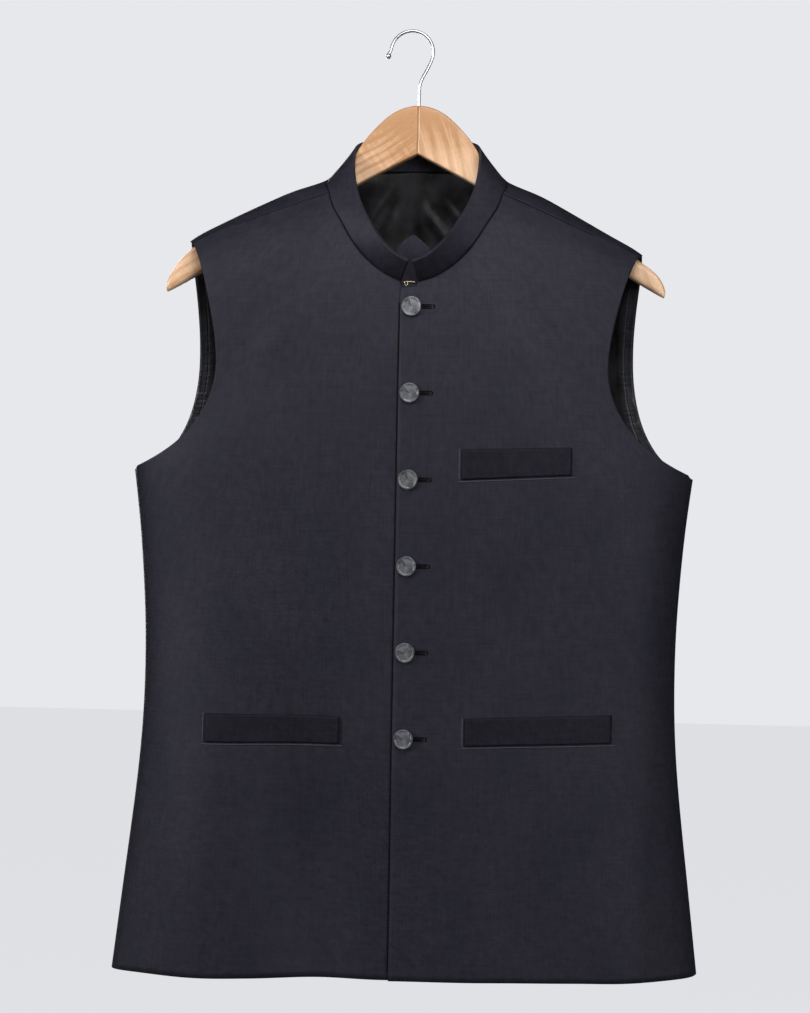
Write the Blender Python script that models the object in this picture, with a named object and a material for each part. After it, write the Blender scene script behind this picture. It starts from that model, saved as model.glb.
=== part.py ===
"""Sleeveless jacket with a stand collar, hanging buttoned on a contoured wooden hanger.

Metres, +Z up, +X to the right as seen from the front, and the front of the jacket faces -Y.
The origin is the seat of the hanger's hook, where whatever holds it carries it.
Heights are given as a drop: the distance below that seat.
"""

import math
from bisect import bisect_right
from collections import namedtuple

import bmesh
import bpy
from mathutils import Vector

MM = 0.001

# Cloth, all in millimetres.
FRONT_THICKNESS = 2.0
BACK_THICKNESS = 1.6
LINING_THICKNESS = 1.0
COLLAR_THICKNESS = 3.0
SEAM_GAP = 0.3
LINING_GAP = 0.7
LAYER_GAP = 0.9
COLLAR_GAP = 0.7
COLLAR_FOOT = 2.4
COLLAR_BOW = 0.8
COLLAR_RISES = (0.0, 0.35, 0.7, 1.0)

# Length and edges.
HEM_DROP = 842.5
HEM_SKEW = 5.0
LINING_HEM_RISE = 22.0
LINING_INSET = 0.8
OVER_LAP = 10.0
UNDER_LAP = 18.0
OVER_LAP_TOP_DROP = 233.0
UNDER_LAP_TOP_DROP = 235.5
LAP_END_INSET = 0.6
LAP_END_RISE = 0.8
LAP_DIP_START = -62.0
LAP_DIP_FULL = -22.0
OVER_NECK_START = 5.0
UNDER_NECK_START = 10.0
NECK_CENTRE_DROP = 228.6
CHEST_ROWS_BELOW_UNDERARM = 8.0

# The shoulders lie on a contoured hanger, pitched forward, and the left one hangs a little lower.
SHOULDER_FORWARD = 14.0
SHOULDER_HALF_WIDTH = 201.0
PITCH_FADE_START = 205.0
PITCH_FADE_END = 330.0
LEFT_SHOULDER_FALL = 7.5
FALL_START = 70.0
FALL_FULL = 190.0
FALL_FADE_START = 200.0
FALL_FADE_END = 300.0

# Closures.
BUTTON_COUNT = 6
BUTTON_TOP_DROP = 250.3
BUTTON_SPACING = 75.7
BUTTON_RADIUS = 8.6
BUTTON_HEIGHT = 3.4
BUTTON_GAP = 0.4
BUTTON_SIDES = 20
LOOP_WIRE_RADIUS = 0.55
LOOP_WIRE_SIDES = 8
LOOP_HALF_LENGTH = 5.6
LOOP_HALF_HEIGHT = 1.35
LOOP_CENTRE_X = -2.9
LOOP_DROP = 229.6
LOOP_END_STEPS = 8

# Hanger.
HOOK_WIRE_RADIUS = 1.5
HOOK_CENTRE_X = -7.0
HOOK_INNER_RADIUS = 17.8
HOOK_ARC_START = 178.0
HOOK_ARC_STEP = 16.0
HOOK_ARC_POINTS = 14
HOOK_BEND_PULL = 12.0
HOOK_BEND_POINTS = 7
HOOK_SIDES = 10
HOOK_BALL_RADIUS = 2.6
HOOK_BALL_GAP = 4.6
HOOK_BALL_LEAN = 1.2
HOOK_BALL_ANGLES = (168.0, 145.0, 120.0, 95.0, 70.0, 48.0, 35.0)
SHANK_TOP_DROP = 52.0
SHANK_MIDDLE_DROP = 70.0
SHANK_END_DROP = 88.0
SHANK_BORE_RADIUS = 1.9
SHANK_BORE_LENGTH = 40.0
SHANK_BORE_EXTRA = 0.3
SHANK_BORE_SIDES = 16
ARM_UNDER_RIDGE = 4.9
ARM_NECK_DIP = 3.6
ARM_NECK_DIP_END = 128.0
ARM_TIP_DIP = 1.0
ARM_TIP_DIP_START = 176.0
ARM_THICKNESS = 12.5
ARM_LEAN = 3.0
ARM_LEAN_GROWTH = 4.0
WOOD_END = 224.0
WOOD_NECK_RADIUS = 2.2
WOOD_NECK_END = 56.0
WOOD_SHOULDER_RADIUS = 5.2
WOOD_ROUNDED_SHARE = 0.9
WOOD_EDGE_STEPS = 3
WOOD_FLAT = 0.3

# Mesh density.
COLUMNS = 12
BODY_ROWS = 10
CHEST_ROWS = 5
NECK_ROWS = 7
NECK_POINT_SPACING = 3.0
NORMAL_TURN_STEP = 0.01
NORMAL_DROP_STEP = 1.5
RIDGE_ROWS = 3
COLLAR_TOP_STEPS = 60
SPAN_STEPS = 10
SHARP_ANGLE = 35.0

# One row for each level of the body: half the width, how far the front and the back stand
# from the line of the side seams, and how square the corners are (2 is an ellipse).
Level = namedtuple("Level", "drop half_width front back squareness")
LEVELS = (
    Level(drop=118.0, half_width=78.0, front=11.0, back=22.0, squareness=2.0),
    Level(drop=131.5, half_width=80.0, front=18.0, back=23.0, squareness=2.0),
    Level(drop=142.0, half_width=110.0, front=27.0, back=28.0, squareness=2.0),
    Level(drop=156.0, half_width=140.0, front=35.0, back=32.0, squareness=2.0),
    Level(drop=171.5, half_width=170.0, front=41.0, back=35.0, squareness=2.05),
    Level(drop=190.5, half_width=202.0, front=46.0, back=37.0, squareness=2.1),
    Level(drop=205.0, half_width=214.0, front=49.0, back=38.0, squareness=2.15),
    Level(drop=225.0, half_width=220.0, front=53.0, back=38.5, squareness=2.2),
    Level(drop=260.0, half_width=225.0, front=57.0, back=39.0, squareness=2.3),
    Level(drop=300.0, half_width=231.0, front=60.0, back=39.0, squareness=2.4),
    Level(drop=345.0, half_width=240.0, front=61.0, back=39.0, squareness=2.4),
    Level(drop=396.5, half_width=251.5, front=60.0, back=38.0, squareness=2.4),
    Level(drop=437.0, half_width=246.0, front=59.0, back=37.0, squareness=2.4),
    Level(drop=490.0, half_width=241.5, front=58.0, back=36.0, squareness=2.35),
    Level(drop=545.0, half_width=238.5, front=57.0, back=35.0, squareness=2.35),
    Level(drop=590.0, half_width=238.2, front=56.5, back=35.0, squareness=2.3),
    Level(drop=640.0, half_width=240.5, front=56.0, back=36.0, squareness=2.3),
    Level(drop=690.0, half_width=245.4, front=55.0, back=37.0, squareness=2.3),
    Level(drop=745.0, half_width=252.0, front=54.0, back=38.0, squareness=2.25),
    Level(drop=800.0, half_width=258.5, front=53.5, back=39.0, squareness=2.25),
    Level(drop=855.0, half_width=265.0, front=53.0, back=40.0, squareness=2.25),
)

RIDGE_LEVELS = LEVELS[1:6]

# The neck seam from the centre front round to the centre back, on the wearer's one side.
Edge = namedtuple("Edge", "across drop face")
NECK_FRONT = (
    Edge(across=14.0, drop=226.6, face="front"),
    Edge(across=26.5, drop=220.5, face="front"),
    Edge(across=38.0, drop=211.2, face="front"),
    Edge(across=49.5, drop=199.6, face="front"),
    Edge(across=60.0, drop=183.4, face="front"),
    Edge(across=69.5, drop=166.5, face="front"),
    Edge(across=77.5, drop=146.0, face="front"),
)
NECK_SIDE = (
    Edge(across=77.5, drop=146.0, face="front"),
    Edge(across=80.3, drop=138.5, face="front"),
    Edge(across=80.8, drop=134.6, face="front"),
    Edge(across=80.0, drop=131.5, face="side"),
)
NECK_BACK = (
    Edge(across=80.0, drop=131.5, face="side"),
    Edge(across=72.0, drop=127.5, face="back"),
    Edge(across=55.0, drop=124.0, face="back"),
    Edge(across=28.0, drop=121.8, face="back"),
    Edge(across=0.0, drop=121.0, face="back"),
)

# The armhole, from the underarm up to the shoulder tip.
ARMHOLE_FRONT = (
    Edge(across=251.5, drop=396.5, face="side"),
    Edge(across=241.0, drop=391.2, face="front"),
    Edge(across=229.0, drop=385.0, face="front"),
    Edge(across=213.0, drop=375.5, face="front"),
    Edge(across=199.0, drop=363.5, face="front"),
    Edge(across=187.5, drop=349.0, face="front"),
    Edge(across=178.0, drop=331.0, face="front"),
    Edge(across=173.4, drop=314.0, face="front"),
    Edge(across=172.7, drop=298.0, face="front"),
    Edge(across=175.2, drop=274.0, face="front"),
    Edge(across=181.3, drop=244.0, face="front"),
    Edge(across=186.5, drop=222.0, face="front"),
    Edge(across=191.5, drop=207.0, face="front"),
    Edge(across=198.5, drop=193.5, face="front"),
)
ARMHOLE_BACK = (
    Edge(across=251.5, drop=396.5, face="side"),
    Edge(across=243.5, drop=392.5, face="back"),
    Edge(across=233.0, drop=387.0, face="back"),
    Edge(across=221.0, drop=376.0, face="back"),
    Edge(across=210.0, drop=358.0, face="back"),
    Edge(across=202.7, drop=336.0, face="back"),
    Edge(across=198.2, drop=312.0, face="back"),
    Edge(across=197.0, drop=278.0, face="back"),
    Edge(across=198.2, drop=248.0, face="back"),
    Edge(across=200.6, drop=222.0, face="back"),
    Edge(across=202.0, drop=205.0, face="back"),
    Edge(across=202.0, drop=190.5, face="side"),
)

# The stand collar's free edge from the centre front to the centre back.
RingPoint = namedtuple("RingPoint", "across forward drop")
COLLAR_TOP = (
    RingPoint(across=0.0, forward=74.0, drop=213.5),
    RingPoint(across=10.0, forward=73.0, drop=210.4),
    RingPoint(across=19.5, forward=69.5, drop=203.0),
    RingPoint(across=32.0, forward=59.5, drop=186.8),
    RingPoint(across=44.2, forward=45.5, drop=164.5),
    RingPoint(across=52.8, forward=32.0, drop=141.5),
    RingPoint(across=57.2, forward=17.0, drop=114.0),
    RingPoint(across=56.0, forward=2.0, drop=100.5),
    RingPoint(across=46.0, forward=-13.0, drop=94.5),
    RingPoint(across=27.0, forward=-24.0, drop=90.0),
    RingPoint(across=0.0, forward=-27.0, drop=88.5),
)
COLLAR_END_OVER = 1.5
COLLAR_END_UNDER = 3.0

# Soft upright waves in the hanging cloth: a crest is positive and a trough negative.
Wave = namedtuple("Wave", "face across half_width depth start full")
WAVES = (
    Wave(face="front", across=-182.0, half_width=60.0, depth=3.4, start=450.0, full=740.0),
    Wave(face="front", across=-84.0, half_width=64.0, depth=-4.4, start=500.0, full=780.0),
    Wave(face="front", across=-14.0, half_width=34.0, depth=1.4, start=600.0, full=830.0),
    Wave(face="front", across=88.0, half_width=62.0, depth=-2.4, start=560.0, full=810.0),
    Wave(face="front", across=196.0, half_width=52.0, depth=3.2, start=560.0, full=810.0),
    Wave(face="back", across=-150.0, half_width=58.0, depth=-4.0, start=560.0, full=810.0),
    Wave(face="back", across=-62.0, half_width=50.0, depth=3.6, start=500.0, full=780.0),
    Wave(face="back", across=34.0, half_width=46.0, depth=-3.4, start=580.0, full=820.0),
    Wave(face="back", across=128.0, half_width=60.0, depth=4.2, start=540.0, full=800.0),
)

# A button's section, from the middle of its back round the rim to the middle of its face.
ProfilePoint = namedtuple("ProfilePoint", "radius height")
BUTTON_PROFILE = (
    ProfilePoint(radius=0.0, height=0.0),
    ProfilePoint(radius=BUTTON_RADIUS - 1.2, height=0.0),
    ProfilePoint(radius=BUTTON_RADIUS, height=1.0),
    ProfilePoint(radius=BUTTON_RADIUS, height=BUTTON_HEIGHT - 0.9),
    ProfilePoint(radius=BUTTON_RADIUS - 0.8, height=BUTTON_HEIGHT),
    ProfilePoint(radius=BUTTON_RADIUS - 1.9, height=BUTTON_HEIGHT - 0.5),
    ProfilePoint(radius=0.0, height=BUTTON_HEIGHT - 0.2),
)

# Welts of the three pockets: corners in the picture plane, lying on the front panels.
Welt = namedtuple("Welt", "name left right top_left top_right bottom_left bottom_right")
WELTS = (
    Welt(
        name="chest_welt",
        left=47.0,
        right=142.0,
        top_left=375.2,
        top_right=371.8,
        bottom_left=400.9,
        bottom_right=395.4,
    ),
    Welt(
        name="pocket_welt_right",
        left=-175.6,
        right=-57.0,
        top_left=611.8,
        top_right=611.0,
        bottom_left=636.3,
        bottom_right=634.4,
    ),
    Welt(
        name="pocket_welt_left",
        left=53.6,
        right=181.0,
        top_left=610.3,
        top_right=605.2,
        bottom_left=633.8,
        bottom_right=629.4,
    ),
)
WELT_GAP = 0.35
WELT_THICKNESS = 1.3
WELT_COLUMNS = 6
WELT_ROWS = 2

# The pointed stay that shows behind the gap between the collar's ends.
StayLevel = namedtuple("StayLevel", "drop half_width forward")
STAY_LEVELS = (
    StayLevel(drop=252.0, half_width=14.0, forward=0.0),
    StayLevel(drop=235.0, half_width=17.0, forward=0.0),
    StayLevel(drop=226.0, half_width=18.0, forward=-1.0),
    StayLevel(drop=199.5, half_width=17.5, forward=-0.2),
    StayLevel(drop=187.0, half_width=1.2, forward=0.4),
)
STAY_THICKNESS = 1.2
STAY_GAP = 0.6
STAY_BEND_DROP = 229.0
STAY_COLUMNS = 4

# One half of the hanger: sections from the glued centre out to the tip.
HangerSection = namedtuple("HangerSection", "top_x top_drop bottom_x bottom_drop thickness")
HANGER_NECK = (
    HangerSection(top_x=0.15, top_drop=65.0, bottom_x=0.15, bottom_drop=108.9, thickness=12.5),
    HangerSection(top_x=8.0, top_drop=65.8, bottom_x=7.5, bottom_drop=112.6, thickness=12.5),
    HangerSection(top_x=15.0, top_drop=68.0, bottom_x=14.5, bottom_drop=116.2, thickness=12.5),
    HangerSection(top_x=21.5, top_drop=71.2, bottom_x=21.0, bottom_drop=119.6, thickness=12.5),
    HangerSection(top_x=28.0, top_drop=75.6, bottom_x=27.0, bottom_drop=122.8, thickness=12.5),
    HangerSection(top_x=40.4, top_drop=87.4, bottom_x=39.5, bottom_drop=129.4, thickness=12.5),
    HangerSection(top_x=51.0, top_drop=100.7, bottom_x=49.0, bottom_drop=134.5, thickness=12.5),
    HangerSection(top_x=57.6, top_drop=112.7, bottom_x=55.5, bottom_drop=138.0, thickness=12.5),
    HangerSection(top_x=63.0, top_drop=124.5, bottom_x=61.0, bottom_drop=141.2, thickness=12.5),
    HangerSection(top_x=72.0, top_drop=133.5, bottom_x=69.0, bottom_drop=146.0, thickness=12.5),
)
HANGER_ARM_START = 86.0
HANGER_ARM_END = 196.0
HANGER_ARM_SECTIONS = 7
HANGER_LOWER_START_DROP = 155.0
HANGER_LOWER_END_DROP = 217.5
HANGER_TIP = (
    HangerSection(top_x=203.5, top_drop=199.5, bottom_x=198.0, bottom_drop=223.2, thickness=12.2),
    HangerSection(top_x=210.0, top_drop=206.2, bottom_x=206.5, bottom_drop=228.4, thickness=11.6),
    HangerSection(top_x=217.0, top_drop=215.8, bottom_x=213.8, bottom_drop=232.6, thickness=10.4),
    HangerSection(top_x=221.6, top_drop=225.2, bottom_x=218.8, bottom_drop=235.4, thickness=8.6),
    HangerSection(top_x=223.0, top_drop=231.5, bottom_x=221.8, bottom_drop=236.6, thickness=5.6),
)


def clear_scene():
    for obj in list(bpy.data.objects):
        bpy.data.objects.remove(obj, do_unlink=True)


def make_material(name, colour, roughness, metallic=0.0):
    material = bpy.data.materials.new(name)
    material.use_nodes = True
    shader = material.node_tree.nodes["Principled BSDF"]
    shader.inputs["Base Color"].default_value = (*colour, 1.0)
    shader.inputs["Roughness"].default_value = roughness
    shader.inputs["Metallic"].default_value = metallic
    return material


def smooth_step(value, low, high):
    """0 at low and below, 1 at high and above, with soft ends."""
    share = min(1.0, max(0.0, (value - low) / (high - low)))
    return share * share * (3.0 - 2.0 * share)


def read_between(keys, values, key):
    """A value read between the rows of a table along a smooth curve that never overshoots."""
    if key <= keys[0]:
        return values[0]
    if key >= keys[-1]:
        return values[-1]
    low = bisect_right(keys, key) - 1
    steps = [b - a for a, b in zip(keys, keys[1:])]
    slopes = [(b - a) / step for a, b, step in zip(values, values[1:], steps)]

    def slope_at(row):
        if row == 0:
            return slopes[0]
        if row == len(slopes):
            return slopes[-1]
        before, after = slopes[row - 1], slopes[row]
        return 0.0 if before * after <= 0 else 2.0 * before * after / (before + after)

    step = steps[low]
    share = (key - keys[low]) / step
    left = slope_at(low) * step
    right = slope_at(low + 1) * step
    rise = values[low + 1] - values[low]
    bend = left + right - 2.0 * rise
    return values[low] + share * (left + share * ((3.0 * rise - 2.0 * left - right) + share * bend))


LEVEL_DROPS = [level.drop for level in LEVELS]
LEVEL_COLUMNS = {
    name: [getattr(level, name) for level in LEVELS]
    for name in ("half_width", "front", "back", "squareness")
}


def level_value(name, drop):
    return read_between(LEVEL_DROPS, LEVEL_COLUMNS[name], drop)


def shoulder_pitch(across):
    """How far forward the hanger's arm, and the shoulder on it, lies at this distance from the centre."""
    return SHOULDER_FORWARD * (across / SHOULDER_HALF_WIDTH) ** 2


def shoulder_fall(side, across):
    """How much lower this shoulder hangs: it grows from the neck out to the tip."""
    return LEFT_SHOULDER_FALL * smooth_step(across, FALL_START, FALL_FULL) if side > 0 else 0.0


def wave_height(face, across, drop):
    height = 0.0
    for wave in WAVES:
        reach = (across - wave.across) / wave.half_width
        if wave.face == face and abs(reach) < 1.0:
            swell = math.cos(math.pi / 2 * reach) ** 2
            height += wave.depth * swell * smooth_step(drop, wave.start, wave.full)
    return height


def under_sink(x):
    """How deep the under layer of the closure dips so that the upper layer lies flat over it."""
    return (FRONT_THICKNESS + LAYER_GAP) * smooth_step(x, LAP_DIP_START, LAP_DIP_FULL)


def body_point(around, drop, side=1, sunk=False):
    """A point of the cloth's outer face, in millimetres.

    around is 0 at the centre front, 1 at the side seam and 2 at the centre back of this side;
    a negative value lies past the centre front.
    """
    half_width = level_value("half_width", drop)
    squareness = level_value("squareness", drop)
    across = half_width * math.sin(math.pi / 2 * around)
    fullness = max(0.0, 1.0 - abs(across / half_width) ** squareness) ** (1.0 / squareness)
    face = "front" if around < 1.0 else "back"
    x = side * across
    depth = (level_value(face, drop) + wave_height(face, x, drop)) * fullness
    y = -depth if face == "front" else depth
    y -= shoulder_pitch(across) * (1.0 - smooth_step(drop, PITCH_FADE_START, PITCH_FADE_END))
    if sunk and face == "front":
        y += under_sink(x)
    fall = shoulder_fall(side, across) * (1.0 - smooth_step(drop, FALL_FADE_START, FALL_FADE_END))
    return Vector((x, y, -drop - fall))


def body_normal(around, drop, side=1, sunk=False):
    """The outward direction of the cloth there."""
    turn = NORMAL_TURN_STEP
    fall = NORMAL_DROP_STEP
    along = body_point(around + turn, drop, side, sunk) - body_point(around - turn, drop, side, sunk)
    down = body_point(around, drop + fall, side, sunk) - body_point(around, drop - fall, side, sunk)
    return (down.cross(along) * side).normalized()


def around_of(across, drop, face):
    """The turn round the body at which the cloth passes this distance from the centre."""
    if face == "side":
        return 1.0
    share = across / level_value("half_width", drop)
    turn = 2.0 / math.pi * math.asin(max(-1.0, min(1.0, share)))
    return turn if face == "front" else 2.0 - turn


def edge_turns(edges):
    return [Vector((around_of(edge.across, edge.drop, edge.face), edge.drop)) for edge in edges]


def curve_through(points, count, measure):
    """count + 1 points evenly spaced along a smooth curve through the given ones."""
    padded = [points[0] * 2 - points[1], *points, points[-1] * 2 - points[-2]]
    fine = []
    for a, b, c, d in zip(padded, padded[1:], padded[2:], padded[3:]):
        bend = a * 2 - b * 5 + c * 4 - d
        twist = b * 3 - a - c * 3 + d
        for step in range(SPAN_STEPS):
            t = step / SPAN_STEPS
            fine.append(0.5 * (b * 2 + (c - a) * t + bend * t**2 + twist * t**3))
    fine.append(points[-1])
    placed = [measure(point) for point in fine]
    lengths = [0.0]
    for a, b in zip(placed, placed[1:]):
        lengths.append(lengths[-1] + (b - a).length)
    picked = []
    for step in range(count + 1):
        wanted = lengths[-1] * step / count
        low = min(bisect_right(lengths, wanted) - 1, len(fine) - 2)
        share = (wanted - lengths[low]) / (lengths[low + 1] - lengths[low])
        picked.append(fine[low].lerp(fine[low + 1], share))
    return picked


def on_body(turn):
    return body_point(turn[0], turn[1])


def hem_drop(x):
    return HEM_DROP - HEM_SKEW * x / LEVEL_COLUMNS["half_width"][-1]


class Sheet:
    """A wall of cloth: its outer corners, the inner corner behind each, and the outer faces."""

    def __init__(self):
        self.outer = []
        self.inner = []
        self.faces = []
        self.index = {}

    def corner(self, pair):
        key = tuple(round(value, 4) for value in pair[0])
        if key not in self.index:
            self.index[key] = len(self.outer)
            self.outer.append(pair[0])
            self.inner.append(pair[1])
        return self.index[key]

    def add_grid(self, grid, turned):
        rows = [[self.corner(pair) for pair in row] for row in grid]
        for low, high in zip(rows, rows[1:]):
            for a, b, c, d in zip(low, low[1:], high[1:], high):
                self.faces.append((a, d, c, b) if turned else (a, b, c, d))

    def build(self, name, material):
        """Closes the outer and inner faces with a strip along every free edge."""
        count = len(self.outer)
        faces = list(self.faces)
        faces += [(a + count, d + count, c + count, b + count) for a, b, c, d in self.faces]
        edges = [edge for face in self.faces for edge in zip(face, face[1:] + face[:1])]
        used = set(edges)
        for start, end in edges:
            if (end, start) not in used:
                faces.append((end, start, start + count, end + count))
        return add_object(name, self.outer + self.inner, faces, material)


def add_object(name, points, faces, material):
    mesh = bpy.data.meshes.new(name)
    mesh.from_pydata([point * MM for point in points], [], faces)
    mesh.validate()
    mesh.materials.append(material)
    mesh.shade_smooth()
    mesh.set_sharp_from_angle(angle=math.radians(SHARP_ANGLE))
    obj = bpy.data.objects.new(name, mesh)
    bpy.context.scene.collection.objects.link(obj)
    return obj


def layer_pair(turn, side, depth, thickness, sunk=False):
    """The outer and inner corner of a layer of cloth that lies depth below the body's outer face."""
    point = body_point(turn[0], turn[1], side, sunk)
    normal = body_normal(turn[0], turn[1], side, sunk)
    return point - normal * depth, point - normal * (depth + thickness)


def ruled_grid(inner, outer, side, depth, thickness, sunk=False):
    """Rows of corner pairs from the inner edge's points to the outer edge's."""
    grid = []
    for start, end in zip(inner, outer):
        turns = [start.lerp(end, column / COLUMNS) for column in range(COLUMNS + 1)]
        grid.append([layer_pair(turn, side, depth, thickness, sunk) for turn in turns])
    return grid


def eased(pair, towards, amount):
    """An edge corner moved back into its own panel, so that it clears the next piece."""
    return tuple(point + (other - point).normalized() * amount for point, other in zip(pair, towards))


def ease_outer_edge(grid, amount):
    for row in grid:
        row[-1] = eased(row[-1], row[-2], amount)


def ease_top_edge(grid, amount):
    grid[-1] = [eased(pair, below, amount) for pair, below in zip(grid[-1], grid[-2])]


def ease_neck_edge(grid, first_row, amount):
    for row in grid[first_row:]:
        row[0] = eased(row[0], row[1], amount)


def side_seam_turns(side):
    """The side seam from the hem up to the underarm."""
    low = hem_drop(side * LEVEL_COLUMNS["half_width"][-1])
    high = ARMHOLE_FRONT[0].drop
    return [Vector((1.0, low + (high - low) * row / BODY_ROWS)) for row in range(BODY_ROWS + 1)]


def upright_turns(across, low, high, rows):
    """An edge that stays at one distance from the centre, from low up to high."""
    drops = [low + (high - low) * row / rows for row in range(rows + 1)]
    return [Vector((around_of(across, drop, "front"), drop)) for drop in drops]


def neck_start(across):
    """The point of the front neck seam where the collar's end is sewn."""
    first = NECK_FRONT[0]
    drop = NECK_CENTRE_DROP - (NECK_CENTRE_DROP - first.drop) * (across / first.across) ** 2
    return Edge(across=across, drop=drop, face="front")


def front_neck_turns(start_across):
    edges = [neck_start(start_across)]
    edges += [edge for edge in NECK_FRONT if edge.across > start_across + NECK_POINT_SPACING]
    return curve_through(edge_turns(edges), NECK_ROWS, on_body)


def front_inner_turns(side, lap, start_across, top_drop):
    """The closure's edge up from the hem, the free top of the lap, then the neck seam."""
    chest_drop = ARMHOLE_FRONT[0].drop + CHEST_ROWS_BELOW_UNDERARM
    turns = upright_turns(-lap, hem_drop(-side * lap), chest_drop, BODY_ROWS)
    turns += upright_turns(-lap, chest_drop, top_drop, CHEST_ROWS)[1:]
    lap_end = start_across - LAP_END_INSET
    lap_drop = top_drop - LAP_END_RISE
    turns.append(Vector((around_of(lap_end, lap_drop, "front"), lap_drop)))
    return turns + front_neck_turns(start_across)


def armhole_turns(edges, rows):
    return curve_through(edge_turns(edges), rows, on_body)


def make_front(name, side, lap, start_across, top_drop, sunk, material):
    inner = front_inner_turns(side, lap, start_across, top_drop)
    armhole_rows = len(inner) - 1 - BODY_ROWS
    outer = side_seam_turns(side) + armhole_turns(ARMHOLE_FRONT, armhole_rows)[1:]
    grid = ruled_grid(inner, outer, side, 0.0, FRONT_THICKNESS, sunk)
    ease_outer_edge(grid, SEAM_GAP / 2)
    ease_top_edge(grid, SEAM_GAP / 2)
    ease_neck_edge(grid, BODY_ROWS + CHEST_ROWS + 2, SEAM_GAP / 2)
    sheet = Sheet()
    sheet.add_grid(grid, turned=side < 0)
    return sheet.build(name, material)


def back_neck_turns():
    """The back panel's neck seam from the centre back over the shoulder to the shoulder seam."""
    behind = curve_through(edge_turns(NECK_BACK), NECK_ROWS, on_body)[::-1]
    over = curve_through(edge_turns(NECK_SIDE), RIDGE_ROWS, on_body)[::-1]
    return behind + over[1:]


def back_outer_turns(side):
    tip = ARMHOLE_FRONT[-1]
    behind = armhole_turns(ARMHOLE_BACK, CHEST_ROWS + NECK_ROWS)
    last = Vector((around_of(tip.across, tip.drop, "front"), tip.drop))
    over = [behind[-1].lerp(last, row / RIDGE_ROWS) for row in range(RIDGE_ROWS + 1)]
    return side_seam_turns(side) + behind[1:] + over[1:]


def back_inner_turns():
    chest_drop = ARMHOLE_BACK[0].drop + CHEST_ROWS_BELOW_UNDERARM
    low = hem_drop(0.0)
    lower = [Vector((2.0, low + (chest_drop - low) * row / BODY_ROWS)) for row in range(BODY_ROWS + 1)]
    neck_drop = NECK_BACK[-1].drop
    upper = [
        Vector((2.0, chest_drop + (neck_drop - chest_drop) * row / CHEST_ROWS))
        for row in range(1, CHEST_ROWS)
    ]
    return lower + upper + back_neck_turns()


def make_back_layer(name, depth, thickness, edge_inset, hem_rise, material):
    """The whole back in one piece; its halves share the corners of the centre line."""
    sheet = Sheet()
    for side in (-1, 1):
        inner = back_inner_turns()
        outer = back_outer_turns(side)
        if hem_rise:
            inner[0] = Vector((inner[0][0], inner[0][1] - hem_rise))
            outer[0] = Vector((outer[0][0], outer[0][1] - hem_rise))
        grid = ruled_grid(inner, outer, side, depth, thickness)
        ease_outer_edge(grid, SEAM_GAP / 2 + edge_inset)
        ease_top_edge(grid, SEAM_GAP / 2 + edge_inset)
        neck_row = BODY_ROWS + CHEST_ROWS
        grid[neck_row][0] = eased(grid[neck_row][0], grid[neck_row - 1][0], SEAM_GAP / 2 + edge_inset)
        ease_neck_edge(grid, neck_row + 1, SEAM_GAP / 2 + edge_inset)
        sheet.add_grid(grid, turned=side > 0)
    return sheet.build(name, material)


def collar_top_curve():
    return [Vector((point.across, -point.forward, -point.drop)) for point in COLLAR_TOP]


def collar_stations(side, start_across, top_across, sunk):
    """Along one side of the collar: the neck seam's corner pair and the free edge's point."""
    turns = front_neck_turns(start_across)
    turns += back_neck_turns()[::-1][1:]
    pairs = [layer_pair(turn, side, 0.0, COLLAR_FOOT, sunk) for turn in turns]
    lengths = [0.0]
    for a, b in zip(pairs, pairs[1:]):
        lengths.append(lengths[-1] + (b[0] - a[0]).length)
    top = curve_through(collar_top_curve(), COLLAR_TOP_STEPS, lambda point: point)
    start = COLLAR_TOP_STEPS * top_across / sum((b - a).length for a, b in zip(top, top[1:]))
    stations = []
    for pair, length in zip(pairs, lengths):
        place = start + (COLLAR_TOP_STEPS - start) * length / lengths[-1]
        low = min(int(place), COLLAR_TOP_STEPS - 1)
        edge = top[low].lerp(top[low + 1], place - low)
        stations.append((pair, Vector((side * edge.x, edge.y, edge.z))))
    return stations


def make_collar(material):
    """A stiff band: its lower edge follows the neck seam and its free edge stands up and forward."""
    under = collar_stations(-1, UNDER_NECK_START, COLLAR_END_UNDER, sunk=True)
    over = collar_stations(1, OVER_NECK_START, COLLAR_END_OVER, sunk=False)
    band = under + over[::-1][1:]
    grid = []
    for place, (pair, edge) in enumerate(band):
        after = band[min(place + 1, len(band) - 1)]
        before = band[max(place - 1, 0)]
        stand = edge - pair[0]
        along = (after[1] + after[0][0]) - (before[1] + before[0][0])
        inward = along.cross(stand).normalized()
        foot = pair[0] + stand * (COLLAR_GAP / stand.length)
        foot_in = pair[1] - pair[0]
        column = []
        for rise in COLLAR_RISES:
            bow = math.sin(math.pi * rise) * COLLAR_BOW
            outer = foot.lerp(edge, rise) - inward * bow
            depth = foot_in.lerp(inward * COLLAR_THICKNESS, smooth_step(rise, 0.0, 0.5))
            column.append((outer, outer + depth))
        grid.append(column)
    sheet = Sheet()
    sheet.add_grid(grid, turned=False)
    return sheet.build("collar", material)


def make_welt(welt, material):
    """A pocket welt: a flat strip lying on the front panel, made from the panel's own points."""
    side = 1 if welt.left > 0 else -1
    grid = []
    for row in range(WELT_ROWS + 1):
        up = row / WELT_ROWS
        pairs = []
        for column in range(WELT_COLUMNS + 1):
            share = column / WELT_COLUMNS
            x = welt.left + (welt.right - welt.left) * share
            low = welt.bottom_left + (welt.bottom_right - welt.bottom_left) * share
            high = welt.top_left + (welt.top_right - welt.top_left) * share
            drop = low + (high - low) * up
            turn = around_of(side * x, drop, "front")
            point = body_point(turn, drop, side)
            normal = body_normal(turn, drop, side)
            height = WELT_GAP + WELT_THICKNESS
            pairs.append((point + normal * height, point + normal * WELT_GAP))
        grid.append(pairs)
    sheet = Sheet()
    sheet.add_grid(grid, turned=False)
    return sheet.build(welt.name, material)


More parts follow.
